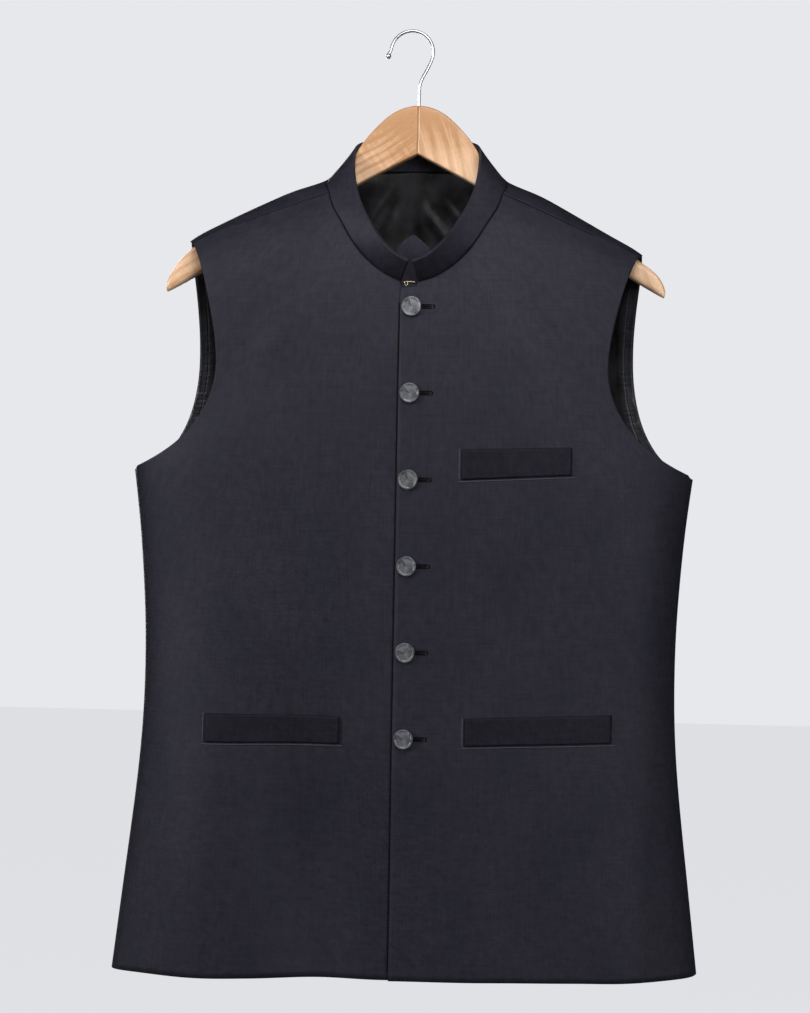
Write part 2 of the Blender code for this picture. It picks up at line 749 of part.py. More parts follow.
def stay_face(drop):
    """Where the stay's front face lies: against the under layer, and straight up above the neck seam."""
    lining_side = body_point(0.0, max(drop, STAY_BEND_DROP)).y + under_sink(0.0) + FRONT_THICKNESS
    return lining_side + STAY_GAP


def make_stay(material):
    """The pointed stay behind the collar's gap, resting against the under layer."""
    grid = []
    for level in STAY_LEVELS:
        rest = stay_face(level.drop)
        row = []
        for column in range(STAY_COLUMNS + 1):
            across = level.half_width * (2.0 * column / STAY_COLUMNS - 1.0)
            point = Vector((across, rest - level.forward, -level.drop))
            row.append((point, point + Vector((0.0, STAY_THICKNESS, 0.0))))
        grid.append(row)
    sheet = Sheet()
    sheet.add_grid(grid, turned=False)
    return sheet.build("neck_stay", material)


def make_button(number, material):
    """A flat round button with a raised rim, sewn on the closure line."""
    drop = BUTTON_TOP_DROP + BUTTON_SPACING * (number - 1)
    centre = body_point(0.0, drop)
    normal = body_normal(0.0, drop)
    mesh = bmesh.new()
    points = [mesh.verts.new(Vector((row.radius, 0.0, row.height)) * MM) for row in BUTTON_PROFILE]
    edges = [mesh.edges.new(pair) for pair in zip(points, points[1:])]
    bmesh.ops.spin(
        mesh,
        geom=points + edges,
        cent=(0, 0, 0),
        axis=(0, 0, 1),
        angle=math.tau,
        steps=BUTTON_SIDES,
        use_merge=True,
    )
    bmesh.ops.remove_doubles(mesh, verts=mesh.verts, dist=0.00001)
    bmesh.ops.recalc_face_normals(mesh, faces=mesh.faces)
    data = bpy.data.meshes.new(f"button_{number}")
    mesh.to_mesh(data)
    mesh.free()
    data.materials.append(material)
    data.shade_smooth()
    data.set_sharp_from_angle(angle=math.radians(SHARP_ANGLE))
    button = bpy.data.objects.new(f"button_{number}", data)
    bpy.context.scene.collection.objects.link(button)
    button.location = (centre + normal * BUTTON_GAP) * MM
    button.rotation_euler = normal.to_track_quat("Z", "Y").to_euler()
    return button


def swept_wire(name, path, radii, sides, material, closed=False):
    """A round wire along a path, with its own radius at each point."""
    count = len(path)
    points = []
    faces = []
    previous = Vector((0.0, 1.0, 0.0))
    for place, (centre, radius) in enumerate(zip(path, radii)):
        if closed:
            ahead = path[(place + 1) % count] - path[place - 1]
        else:
            ahead = path[min(place + 1, count - 1)] - path[max(place - 1, 0)]
        ahead.normalize()
        first = (previous - ahead * previous.dot(ahead)).normalized()
        second = ahead.cross(first)
        previous = first
        for corner in range(sides):
            turn = math.tau * corner / sides
            points.append(centre + (first * math.cos(turn) + second * math.sin(turn)) * radius)
    rings = count if closed else count - 1
    for place in range(rings):
        start = place * sides
        after = (place + 1) % count * sides
        for corner in range(sides):
            near = (corner + 1) % sides
            faces.append((start + corner, start + near, after + near, after + corner))
    if not closed:
        faces.append(tuple(range(sides))[::-1])
        faces.append(tuple(range(count * sides - sides, count * sides)))
    return add_object(name, points, faces, material)


def bezier(start, start_pull, end_pull, end, count):
    points = []
    for step in range(count + 1):
        t = step / count
        s = 1.0 - t
        points.append(start * s**3 + start_pull * 3 * s * s * t + end_pull * 3 * s * t * t + end * t**3)
    return points


def make_hook(material):
    """The hook: a ball at its tip, three quarters of a circle, then an S-bend into the upright shank."""
    radius = HOOK_INNER_RADIUS + HOOK_WIRE_RADIUS
    seat_rise = math.sqrt(HOOK_INNER_RADIUS**2 - HOOK_CENTRE_X**2)
    centre = Vector((HOOK_CENTRE_X, 0.0, -seat_rise))

    def on_arc(degrees):
        turn = math.radians(degrees)
        return centre + Vector((math.cos(turn), 0.0, math.sin(turn))) * radius

    arc = [on_arc(HOOK_ARC_START - HOOK_ARC_STEP * step) for step in range(HOOK_ARC_POINTS)]
    tangent = (arc[0] - arc[1]).normalized()
    ball_centre = arc[0] + tangent * HOOK_BALL_GAP - Vector((HOOK_BALL_LEAN, 0.0, 0.0))
    turns = [math.radians(angle) for angle in HOOK_BALL_ANGLES]
    ball = [ball_centre - tangent * math.cos(turn) * HOOK_BALL_RADIUS for turn in turns]
    ball_radii = [math.sin(turn) * HOOK_BALL_RADIUS for turn in turns]
    leaving = (arc[-1] - arc[-2]).normalized() * HOOK_BEND_PULL
    arriving = Vector((0.0, 0.0, HOOK_BEND_PULL))
    shank = [Vector((0.0, 0.0, -drop)) for drop in (SHANK_TOP_DROP, SHANK_MIDDLE_DROP, SHANK_END_DROP)]
    bend = bezier(arc[-1], arc[-1] + leaving, shank[0] + arriving, shank[0], HOOK_BEND_POINTS)
    path = ball + arc + bend[1:] + shank[1:]
    radii = ball_radii + [HOOK_WIRE_RADIUS] * (len(path) - len(ball))
    return swept_wire("hanger_hook", path, radii, HOOK_SIDES, material)


def make_hook_and_eye(material):
    """The flat wire loop of the hook and eye that closes the top of the front."""
    rest = stay_face(LOOP_DROP) - LOOP_WIRE_RADIUS - SEAM_GAP
    centre = Vector((LOOP_CENTRE_X, rest, -LOOP_DROP))
    path = []
    for end in (1, -1):
        for step in range(LOOP_END_STEPS + 1):
            turn = math.pi * (step / LOOP_END_STEPS - 0.5)
            x = end * (LOOP_HALF_LENGTH - LOOP_HALF_HEIGHT + math.cos(turn) * LOOP_HALF_HEIGHT)
            path.append(centre + Vector((x, 0.0, end * math.sin(turn) * LOOP_HALF_HEIGHT)))
    radii = [LOOP_WIRE_RADIUS] * len(path)
    return swept_wire("hook_and_eye", path, radii, LOOP_WIRE_SIDES, material, closed=True)


def ridge_drop(across):
    """The height of the shoulder's ridge line at this distance from the centre."""
    widths = [level.half_width for level in RIDGE_LEVELS]
    return read_between(widths, [level.drop for level in RIDGE_LEVELS], across)


def arm_clearance(across):
    """How far under the ridge the wood lies: it dips away from the neck seam and towards the tip."""
    neck_dip = ARM_NECK_DIP * (1.0 - smooth_step(across, HANGER_ARM_START, ARM_NECK_DIP_END))
    tip_dip = ARM_TIP_DIP * smooth_step(across, ARM_TIP_DIP_START, HANGER_ARM_END)
    return ARM_UNDER_RIDGE + neck_dip + tip_dip


def hanger_sections():
    sections = list(HANGER_NECK)
    for place in range(HANGER_ARM_SECTIONS):
        share = place / (HANGER_ARM_SECTIONS - 1)
        top_x = HANGER_ARM_START + (HANGER_ARM_END - HANGER_ARM_START) * share
        low_drop = HANGER_LOWER_START_DROP + (HANGER_LOWER_END_DROP - HANGER_LOWER_START_DROP) * share
        sections.append(
            HangerSection(
                top_x=top_x,
                top_drop=ridge_drop(top_x) + arm_clearance(top_x),
                bottom_x=top_x - ARM_LEAN - ARM_LEAN_GROWTH * share,
                bottom_drop=low_drop,
                thickness=ARM_THICKNESS,
            )
        )
    return sections + list(HANGER_TIP)


def rounded_ring(section, side):
    """A section of the wood, upright: nearly square edges at the neck, well rounded under the cloth."""
    fall = shoulder_fall(side, section.top_x) * (1.0 - smooth_step(section.top_x, FALL_FADE_START, WOOD_END))
    top = Vector((section.top_x, 0.0, -section.top_drop - fall))
    bottom = Vector((section.bottom_x, 0.0, -section.bottom_drop))
    middle = (top + bottom) / 2
    half_height = (top - bottom) / 2
    half_thickness = section.thickness / 2
    rounding = smooth_step(section.top_x, WOOD_NECK_END, HANGER_ARM_START)
    radius = WOOD_NECK_RADIUS + (WOOD_SHOULDER_RADIUS - WOOD_NECK_RADIUS) * rounding
    edge = min(half_thickness - WOOD_FLAT, half_height.length * WOOD_ROUNDED_SHARE, radius)
    upward = half_height.normalized()
    ring = []
    for y_sign, z_sign, start in ((1, 1, 0), (-1, 1, 90), (-1, -1, 180), (1, -1, 270)):
        for step in range(WOOD_EDGE_STEPS + 1):
            turn = math.radians(start + 90.0 * step / WOOD_EDGE_STEPS)
            y = y_sign * (half_thickness - edge) + math.cos(turn) * edge
            z = z_sign * (half_height.length - edge) + math.sin(turn) * edge
            point = middle + upward * z
            ring.append(Vector((side * point.x, y - shoulder_pitch(point.x), point.z)))
    return ring


def make_hanger_half(name, side, material):
    rings = [rounded_ring(section, side) for section in hanger_sections()]
    sides = len(rings[0])
    points = [point for ring in rings for point in ring]
    faces = []
    for place in range(len(rings) - 1):
        for corner in range(sides):
            near = (corner + 1) % sides
            a = place * sides + corner
            b = place * sides + near
            faces.append((a, b, b + sides, a + sides))
    faces.append(tuple(range(sides))[::-1])
    faces.append(tuple(range(len(points) - sides, len(points))))
    if side < 0:
        faces = [face[::-1] for face in faces]
    arm = add_object(name, points, faces, material)
    bore = shank_bore(name + "_bore")
    cut = arm.modifiers.new("shank bore", "BOOLEAN")
    cut.object = bore
    cut.operation = "DIFFERENCE"
    cut.solver = "EXACT"
    return arm


def shank_bore(name):
    """The hole down the glue line that takes the hook's shank."""
    bottom_drop = SHANK_END_DROP + SHANK_BORE_EXTRA
    bpy.ops.mesh.primitive_cylinder_add(
        vertices=SHANK_BORE_SIDES,
        radius=SHANK_BORE_RADIUS * MM,
        depth=SHANK_BORE_LENGTH * MM,
        location=(0.0, 0.0, (SHANK_BORE_LENGTH / 2 - bottom_drop) * MM),
    )
    bore = bpy.context.active_object
    bore.name = name
    bore.hide_render = True
    bore.display_type = "WIRE"
    return bore


def main():
    clear_scene()
    shell = make_material("worsted cloth", (0.034, 0.033, 0.041), 0.85)
    collar_cloth = make_material("collar cloth", (0.026, 0.025, 0.031), 0.85)
    satin = make_material("satin lining", (0.016, 0.016, 0.019), 0.35)
    horn = make_material("smoke grey button", (0.2, 0.21, 0.22), 0.35)
    wood = make_material("pale varnished wood", (0.72, 0.42, 0.22), 0.4)
    steel = make_material("polished steel wire", (0.62, 0.62, 0.63), 0.22, metallic=1.0)
    brass = make_material("brass wire", (0.62, 0.5, 0.26), 0.3, metallic=1.0)

    make_front("front_right", -1, UNDER_LAP, UNDER_NECK_START, UNDER_LAP_TOP_DROP, True, shell)
    make_front("front_left", 1, OVER_LAP, OVER_NECK_START, OVER_LAP_TOP_DROP, False, shell)
    make_back_layer("back", 0.0, BACK_THICKNESS, 0.0, 0.0, shell)
    lining_depth = BACK_THICKNESS + LINING_GAP
    make_back_layer("back_lining", lining_depth, LINING_THICKNESS, LINING_INSET, LINING_HEM_RISE, satin)
    make_collar(collar_cloth)
    make_stay(shell)
    for welt in WELTS:
        make_welt(welt, shell)
    for number in range(1, BUTTON_COUNT + 1):
        make_button(number, horn)
    make_hook_and_eye(brass)
    make_hanger_half("hanger_arm_right", -1, wood)
    make_hanger_half("hanger_arm_left", 1, wood)
    make_hook(steel)


main()
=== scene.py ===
# %% [markdown]
# # A sleeveless jacket on its hanger
#
# The object is a plain charcoal jacket with a stand collar, buttoned up and hung on a contoured
# wooden hanger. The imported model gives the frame: every size and place below is measured from it.
# Lengths are in metres, +Z is up, +X is to the right as the front is seen, and the front faces -Y.
# The origin is the seat under the top of the hanger's hook.

import math
from collections import namedtuple

import bmesh
import bpy
import numpy as np
from mathutils import Euler, Matrix, Vector


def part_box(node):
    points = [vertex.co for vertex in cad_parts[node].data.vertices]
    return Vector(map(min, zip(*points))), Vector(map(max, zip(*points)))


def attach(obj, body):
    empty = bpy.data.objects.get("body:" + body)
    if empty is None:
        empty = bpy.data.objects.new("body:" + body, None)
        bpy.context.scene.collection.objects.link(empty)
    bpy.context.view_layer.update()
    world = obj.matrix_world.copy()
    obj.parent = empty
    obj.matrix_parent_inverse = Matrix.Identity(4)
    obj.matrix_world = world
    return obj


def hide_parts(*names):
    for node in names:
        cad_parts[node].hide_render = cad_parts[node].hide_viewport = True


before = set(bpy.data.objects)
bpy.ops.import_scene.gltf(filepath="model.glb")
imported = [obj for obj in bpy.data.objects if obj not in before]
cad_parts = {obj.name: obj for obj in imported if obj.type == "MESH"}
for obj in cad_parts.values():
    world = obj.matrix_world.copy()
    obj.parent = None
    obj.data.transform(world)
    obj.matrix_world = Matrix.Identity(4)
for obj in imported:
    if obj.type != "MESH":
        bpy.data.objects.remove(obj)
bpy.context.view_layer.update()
scene = bpy.context.scene
MM = 0.001
print("frame pieces:", len(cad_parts))

# %% [markdown]
# ## The camera
#
# The picture was taken from two metres, a little to the right of the hanger and level with the
# middle of the jacket. The lens is long, so the panels look almost flat. The camera is set up
# first, because every later choice is judged through it.

# %% Camera
PICTURE_WIDTH = 810
FOCAL_PIXELS = 2222.2
CAMERA_PLACE = Vector((0.1095, -1.997, -0.4254))
CAMERA_TURN = math.radians(3.3)
CAMERA_ROLL = math.radians(1.1)

camera_data = bpy.data.cameras.new("camera")
camera = bpy.data.objects.new("camera", camera_data)
scene.collection.objects.link(camera)
scene.camera = camera
camera_data.sensor_fit = "HORIZONTAL"
camera_data.sensor_width = 36.0
camera_data.lens = camera_data.sensor_width * FOCAL_PIXELS / PICTURE_WIDTH
camera.location = CAMERA_PLACE
level_view = Euler((math.pi / 2, 0.0, CAMERA_TURN)).to_matrix()
camera.rotation_euler = (level_view @ Matrix.Rotation(CAMERA_ROLL, 3, "Z")).to_euler()
print("lens:", round(camera_data.lens, 1), "mm")

# %% [markdown]
# ## Light and backdrop
#
# The picture has a plain pale background. Its soft light falls off from the chest to the hem, and
# slopes that face left are lighter than those that face right. So a near lamp overhead gives the
# fall, and a far one on the left models the folds. A broad one in front, on the right, keeps that
# side of the jacket from turning black, and one behind is for the views of the back.

# %% Lamps
LAMPS = (  # name, place, height it looks at, size, watts
    ("top lamp", (0.10, -1.0, 0.5), -0.30, 0.7, 8.4),
    ("side lamp", (-3.0, -2.0, 0.6), -0.45, 0.8, 78.0),
    ("front lamp", (2.0, -2.8, -0.1), -0.4, 1.6, 38.0),
    ("back lamp", (-1.0, 3.2, 0.1), -0.4, 1.8, 60.0),
)


def add_area(name, place, height, size, energy):
    """A soft square lamp that looks at a height on the jacket's axis."""
    bpy.ops.object.select_all(action="DESELECT")
    bpy.ops.object.light_add(type="AREA", location=place)
    lamp = bpy.context.active_object
    lamp.name = name
    lamp.data.size = size
    lamp.data.energy = energy
    aim = Vector((0.0, 0.0, height)) - Vector(place)
    lamp.rotation_euler = aim.to_track_quat("-Z", "Y").to_euler()


for lamp_values in LAMPS:
    add_area(*lamp_values)
print("lamps:", [item.name for item in bpy.data.objects if item.type == "LIGHT"])

# %% [markdown]
# The surroundings are seen in three ways. The camera sees the plain backdrop, the cloth gets a
# little even light from it, and polished wire mirrors it: bright in front of the object and dark
# behind it, which draws the wire's edges. The floor glows for the camera alone, so it stays pale
# however far the lamps are from it.

# %% Backdrop and floor
BACKDROP = (0.799, 0.807, 0.838, 1.0)
AMBIENT_STRENGTH = 0.12
MIRRORED_FRONT = 0.3
MIRRORED_BACK = 0.03
FRONT_DIRECTION = -0.5
BACK_DIRECTION = 0.35
FLOOR_SIZE = 24.0
FLOOR_HEIGHT = -1.75
FLOOR_COLOUR = (0.22, 0.22, 0.23, 1.0)
FLOOR_GLOW = (0.70, 0.71, 0.74, 1.0)

world = bpy.data.worlds.new("pale studio")
scene.world = world
world.use_nodes = True
world_nodes = world.node_tree.nodes
world_links = world.node_tree.links
seen = world_nodes["Background"]
ambient = world_nodes.new("ShaderNodeBackground")
ambient.inputs["Strength"].default_value = AMBIENT_STRENGTH
mirrored = world_nodes.new("ShaderNodeBackground")
for background in (seen, ambient, mirrored):
    background.inputs["Color"].default_value = BACKDROP
direction = world_nodes.new("ShaderNodeTexCoord")
depth = world_nodes.new("ShaderNodeSeparateXYZ")
world_links.new(direction.outputs["Generated"], depth.inputs["Vector"])
brightness = world_nodes.new("ShaderNodeMapRange")
brightness.inputs["From Min"].default_value = FRONT_DIRECTION
brightness.inputs["From Max"].default_value = BACK_DIRECTION
brightness.inputs["To Min"].default_value = MIRRORED_FRONT
brightness.inputs["To Max"].default_value = MIRRORED_BACK
world_links.new(depth.outputs["Y"], brightness.inputs["Value"])
world_links.new(brightness.outputs["Result"], mirrored.inputs["Strength"])
path = world_nodes.new("ShaderNodeLightPath")


def choose_light(by, otherwise, chosen):
    """One background for rays of a kind, another for the rest."""
    blend = world_nodes.new("ShaderNodeMixShader")
    world_links.new(path.outputs[by], blend.inputs["Fac"])
    world_links.new(otherwise, blend.inputs[1])
    world_links.new(chosen, blend.inputs[2])
    return blend.outputs["Shader"]


lit = choose_light("Is Glossy Ray", ambient.outputs["Background"], mirrored.outputs["Background"])
lit = choose_light("Is Camera Ray", lit, seen.outputs["Background"])
world_links.new(lit, world_nodes["World Output"].inputs["Surface"])
scene.view_settings.view_transform = "Standard"

bpy.ops.object.select_all(action="DESELECT")
bpy.ops.mesh.primitive_plane_add(size=FLOOR_SIZE, location=(0.0, 0.0, FLOOR_HEIGHT))
floor = bpy.context.active_object
floor.name = "floor"
floor_finish = bpy.data.materials.new("pale floor")
floor_finish.use_nodes = True
floor_tree = floor_finish.node_tree
floor_shader = floor_tree.nodes["Principled BSDF"]
floor_shader.inputs["Base Color"].default_value = FLOOR_COLOUR
floor_shader.inputs["Roughness"].default_value = 0.9
floor_shader.inputs["Emission Color"].default_value = FLOOR_GLOW
floor_path = floor_tree.nodes.new("ShaderNodeLightPath")
floor_tree.links.new(floor_path.outputs["Is Camera Ray"], floor_shader.inputs["Emission Strength"])
floor.data.materials.append(floor_finish)
print("floor at:", FLOOR_HEIGHT)

# %% [markdown]
# ## Small helpers for materials
#
# A material here is a Principled shader fed by a few nodes. Each helper makes one kind of node,
# sets its values and links it, so that a material reads like a recipe: where the pattern lies, some
# stretched noise, a sum or two, a mix of two colours and a bump.


# %% Material helpers
def new_group(name, inputs, outputs):
    """A shader node group. An input has its default value, or None where it is a vector."""
    tree = bpy.data.node_groups.new(name, "ShaderNodeTree")
    for label, value in inputs.items():
        kind = "NodeSocketVector" if value is None else "NodeSocketFloat"
        socket = tree.interface.new_socket(label, in_out="INPUT", socket_type=kind)
        if value is not None:
            socket.default_value = value
    for label in outputs:
        tree.interface.new_socket(label, in_out="OUTPUT", socket_type="NodeSocketFloat")
    source = tree.nodes.new("NodeGroupInput")
    result = tree.nodes.new("NodeGroupOutput")
    return tree, source.outputs, result.inputs


def use_group(tree, group, vector, **values):
    """Places a group in a material, fed by a vector socket, and gives its output sockets."""
    node = tree.nodes.new("ShaderNodeGroup")
    node.node_tree = group
    tree.links.new(vector, node.inputs["Vector"])
    for name, value in values.items():
        node.inputs[name.replace("_", " ")].default_value = value
    return node.outputs


def new_material(name, **values):
    """A material with its node tree and its shader; values are named after the shader's sockets."""
    material = bpy.data.materials.new(name)
    material.use_nodes = True
    shader = material.node_tree.nodes["Principled BSDF"]
    for label, value in values.items():
        shader.inputs[label.replace("_", " ")].default_value = value
    return material, material.node_tree, shader


def own_map(tree, name):
    """The socket of a piece's own UV map."""
    uv = tree.nodes.new("ShaderNodeUVMap")
    uv.uv_map = name
    return uv.outputs["UV"]


def own_place(tree):
    """The socket of the piece's Object coordinates, in metres."""
    return tree.nodes.new("ShaderNodeTexCoord").outputs["Object"]


def split_vector(tree, vector):
    split = tree.nodes.new("ShaderNodeSeparateXYZ")
    tree.links.new(vector, split.inputs["Vector"])
    return split.outputs


def stretched_noise(tree, vector, detail, along):
    """Noise whose grains are long in one direction; along holds how many grains fit per metre."""
    mapping = tree.nodes.new("ShaderNodeMapping")
    mapping.inputs["Scale"].default_value = along
    tree.links.new(vector, mapping.inputs["Vector"])
    noise = tree.nodes.new("ShaderNodeTexNoise")
    noise.inputs["Scale"].default_value = 1.0
    noise.inputs["Detail"].default_value = detail
    tree.links.new(mapping.outputs["Vector"], noise.inputs["Vector"])
    return noise.outputs["Fac"]


def feed(tree, value, target):
    """Links one socket to another, or gives the target a plain value."""
    if hasattr(value, "links"):
        tree.links.new(value, target)
    else:
        target.default_value = value


def mix_colours(tree, factor, base, colour, blend="MIX"):
    """A colour between a fixed one or a socket and a fixed one, by a factor socket."""
    mix = tree.nodes.new("ShaderNodeMix")
    mix.data_type = "RGBA"
    mix.blend_type = blend
    feed(tree, base if hasattr(base, "links") else (*base, 1.0), mix.inputs["A"])
    feed(tree, (*colour, 1.0), mix.inputs["B"])
    feed(tree, factor, mix.inputs["Factor"])
    return mix.outputs["Result"]


def add_bump(tree, height, shader, strength, distance):
    """Presses a height socket into the shader's normal."""
    bump = tree.nodes.new("ShaderNodeBump")
    bump.inputs["Strength"].default_value = strength
    bump.inputs["Distance"].default_value = distance
    tree.links.new(height, bump.inputs["Height"])
    tree.links.new(bump.outputs["Normal"], shader.inputs["Normal"])


# %% Sums on sockets
def math_node(tree, operation, first, second=None):
    """Does a sum on sockets or plain numbers."""
    node = tree.nodes.new("ShaderNodeMath")
    node.operation = operation
    feed(tree, first, node.inputs[0])
    if second is not None:
        feed(tree, second, node.inputs[1])
    return node.outputs["Value"]


def plus(tree, first, second):
    return math_node(tree, "ADD", first, second)


def minus(tree, first, second):
    return math_node(tree, "SUBTRACT", first, second)


def times(tree, first, second):
    return math_node(tree, "MULTIPLY", first, second)


# %% [markdown]
# ## The suiting
#
# The jacket is cut from a fine matt worsted. Its yarns are about 0.4 mm apart and twilled, so from
# two metres only their unevenness shows: faint upright and level streaks, and a slow drift between
# a cooler and a warmer charcoal. The weave is a node group, because the fronts, back, collar and
# welts all use it. It reads the piece's own UV map, which holds metres along the cloth, so that the
# yarns turn with the cloth at the sides.


# %% Weave group
def build_weave():
    tree, source, result = new_group(
        "worsted weave", {"Vector": None, "Yarn Spacing": 0.0004}, ("Tone", "Drift", "Height")
    )
    place = source["Vector"]
    split = split_vector(tree, place)
    across = math_node(tree, "DIVIDE", split["X"], source["Yarn Spacing"])
    down = math_node(tree, "DIVIDE", split["Y"], source["Yarn Spacing"])
    twill = math_node(tree, "SINE", times(tree, plus(tree, across, down), math.pi / 2))
    warp = math_node(tree, "SINE", times(tree, across, math.tau))
    weft = math_node(tree, "SINE", times(tree, down, math.tau))
    upright = stretched_noise(tree, place, 2.0, (900.0, 26.0, 1.0))
    level = stretched_noise(tree, place, 2.0, (22.0, 700.0, 1.0))
    drift = stretched_noise(tree, place, 4.0, (17.0, 12.0, 1.0))
    slubs = stretched_noise(tree, place, 2.0, (240.0, 210.0, 1.0))
    mottle = stretched_noise(tree, place, 2.0, (118.0, 104.0, 1.0))
    streaks = plus(tree, plus(tree, upright, level), slubs)
    fine = times(tree, plus(tree, twill, times(tree, warp, weft)), 0.08)
    uneven = plus(tree, plus(tree, streaks, fine), times(tree, mottle, 1.3))
    tree.links.new(minus(tree, uneven, 1.65), result["Tone"])
    tree.links.new(times(tree, minus(tree, drift, 0.36), 3.4), result["Drift"])
    tree.links.new(plus(tree, times(tree, twill, 0.5), streaks), result["Height"])
    return tree


weave = build_weave()
print("weave group nodes:", len(weave.nodes))

# %% Suiting material
COOLER = (0.74, 0.76, 0.84)
BLUISH_SHEEN = (0.80, 0.79, 1.0, 1.0)


def make_suiting(name, dark, light, shine):
    """Matt worsted between a dark and a light yarn colour, drifting a little to a cooler one."""
    material, tree, shader = new_material(
        name, Roughness=0.6, Specular_IOR_Level=shine, Specular_Tint=BLUISH_SHEEN
    )
    cloth = use_group(tree, weave, own_map(tree, "cloth"))
    yarn = mix_colours(tree, cloth["Tone"], dark, light)
    drifted = mix_colours(tree, cloth["Drift"], yarn, COOLER, "MULTIPLY")
    tree.links.new(drifted, shader.inputs["Base Color"])
    add_bump(tree, cloth["Height"], shader, 0.35, 0.12 * MM)
    return material


SUITINGS = {  # dark yarn, light yarn, shine
    "charcoal suiting": ((0.0085, 0.0080, 0.0115), (0.0200, 0.0188, 0.0265), 0.32),
    # Painted light: the collar's copy is a little lighter than the charcoal.
    "collar suiting, painted lighter": ((0.0096, 0.0091, 0.0126), (0.0215, 0.0203, 0.0280), 0.30),
    "welt suiting": ((0.0066, 0.0062, 0.0086), (0.0150, 0.0142, 0.0190), 0.16),
    # Painted light: the inner copy is lighter, for the collar's shaded inner face.
    "inner suiting, painted lighter": ((0.018, 0.0175, 0.023), (0.036, 0.035, 0.046), 0.3),
}
suiting, collar_suiting_painted_lighter, welt_suiting, inner_suiting_painted_light = (
    make_suiting(name, *values) for name, values in SUITINGS.items()
)
print("suitings:", list(SUITINGS))

# %% [markdown]
# ## The satin lining
#
# The lining is a black satin. Its face is smooth and its creases catch soft, broken highlights; its
# colour is also painted in light and dark blotches, as painted sheen and shade. Near the armholes a
# row of stitching holds it back from the edge and puckers it, and beside it the satin is painted
# lighter, as painted light. That line follows the edge, so the piece carries an attribute with each
# point's distance from its edge.

# %% Satin material
STITCH_INSET = 7.0
LIGHT_AND_PUCKER_WIDTH = 7.0
# Painted light: near the armhole stitching the satin's colour is mixed towards this lighter one.
ARMHOLE_PAINTED_LIGHT = (0.040, 0.039, 0.046)
SATIN_DARK = (0.0014, 0.0014, 0.0019)
SATIN_PAINTED_SHEEN = (0.0150, 0.0148, 0.0182)


def make_satin():
    material, tree, shader = new_material("black satin", Roughness=0.42, Specular_IOR_Level=0.45)
    place = own_map(tree, "cloth")
    edge = tree.nodes.new("ShaderNodeAttribute")
    edge.attribute_name = "edge_mm"
    away = math_node(tree, "ABSOLUTE", minus(tree, edge.outputs["Fac"], STITCH_INSET))
    line = math_node(tree, "MAXIMUM", minus(tree, 1.0, away), 0.0)
    share = math_node(tree, "DIVIDE", away, LIGHT_AND_PUCKER_WIDTH)
    near = math_node(tree, "MAXIMUM", minus(tree, 1.0, share), 0.0)
    sheen_and_relief_blotch = stretched_noise(tree, place, 3.0, (60.0, 42.0, 1.0))
    threads = stretched_noise(tree, place, 1.0, (2600.0, 60.0, 1.0))
    pucker = stretched_noise(tree, place, 1.0, (30.0, 260.0, 1.0))
    # Painted sheen and shade: noise blotches mix the satin's black towards a lighter colour.
    shade = plus(tree, times(tree, sheen_and_relief_blotch, 4.4), -1.70)
    face = mix_colours(tree, shade, SATIN_DARK, SATIN_PAINTED_SHEEN)
    # Painted light near the stitched line.
    painted_armhole_light = times(tree, times(tree, near, sheen_and_relief_blotch), 1.7)
    tree.links.new(mix_colours(tree, painted_armhole_light, face, ARMHOLE_PAINTED_LIGHT), shader.inputs["Base Color"])
    gathers = times(tree, times(tree, pucker, near), 2.4)
    relief = plus(tree, minus(tree, gathers, line), times(tree, sheen_and_relief_blotch, 2.0))
    relief = plus(tree, relief, times(tree, threads, 0.06))
    add_bump(tree, relief, shader, 0.45, 1.0 * MM)
    return material


satin = make_satin()
print("lining:", satin.name)

# %% [markdown]
# ## From packed walls to soft cloth
#
# Each packed cloth piece is a closed wall of flat facets. A copy is merged, joined back into
# four-sided faces and subdivided three times. Its outline is creased first, and the outline's
# corners are kept pointed, so that the cut keeps its shape. Then the folds are pressed in by moving
# points in or out along Y: both faces of a wall move by the same amount, so it keeps its thickness
# and its distance from the next piece.

# %% Cloth helpers
LEVELS_OF_DETAIL = 3
SHARP_DEGREES = 50.0
CORNER_DEGREES = 30.0
THICKEST_WALL = 2.5 * MM


def select_only(piece):
    bpy.ops.object.select_all(action="DESELECT")
    piece.select_set(True)
    bpy.context.view_layer.objects.active = piece


def edit_unselected(kind):
    """Edit mode with nothing selected, ready to select points, edges or faces."""
    bpy.ops.object.mode_set(mode="EDIT")
    bpy.ops.mesh.select_mode(type=kind)
    bpy.ops.mesh.select_all(action="DESELECT")


def edit_sharp_edges(piece, sharp_degrees):
    """Edit mode with only the sharp edges of a piece selected."""
    select_only(piece)
    edit_unselected("EDGE")
    bpy.ops.mesh.edges_select_sharp(sharpness=math.radians(sharp_degrees))


def merged_copy(node_name, name, widest_turn=math.pi):
    """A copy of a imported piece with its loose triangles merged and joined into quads."""
    piece = bpy.data.objects.new(name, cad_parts[node_name].data.copy())
    scene.collection.objects.link(piece)
    piece.data.materials.clear()
    select_only(piece)
    bpy.ops.object.mode_set(mode="EDIT")
    bpy.ops.mesh.select_all(action="SELECT")
    bpy.ops.mesh.remove_doubles(threshold=0.001 * MM)
    bpy.ops.mesh.tris_convert_to_quads(
        face_threshold=widest_turn, shape_threshold=math.pi, topology_influence=1.5
    )
    bpy.ops.object.mode_set(mode="OBJECT")
    return piece


def outline_corners(piece, wall):
    """The points off the centre line where a creased outline turns sharply. They stay pointed."""
    neighbours = {}
    for edge in piece.data.edges:
        if edge.select:
            for here, there in (edge.vertices, reversed(edge.vertices)):
                neighbours.setdefault(here, []).append(there)
    corners = []
    for here, others in neighbours.items():
        place = piece.data.vertices[here].co
        runs = [piece.data.vertices[other].co - place for other in others]
        runs = [run for run in runs if run.length > wall]
        turned = len(runs) == 2 and runs[0].angle(-runs[1]) > math.radians(CORNER_DEGREES)
        if turned and abs(place.x) > 1.0 * MM:
            corners.append(here)
    return corners


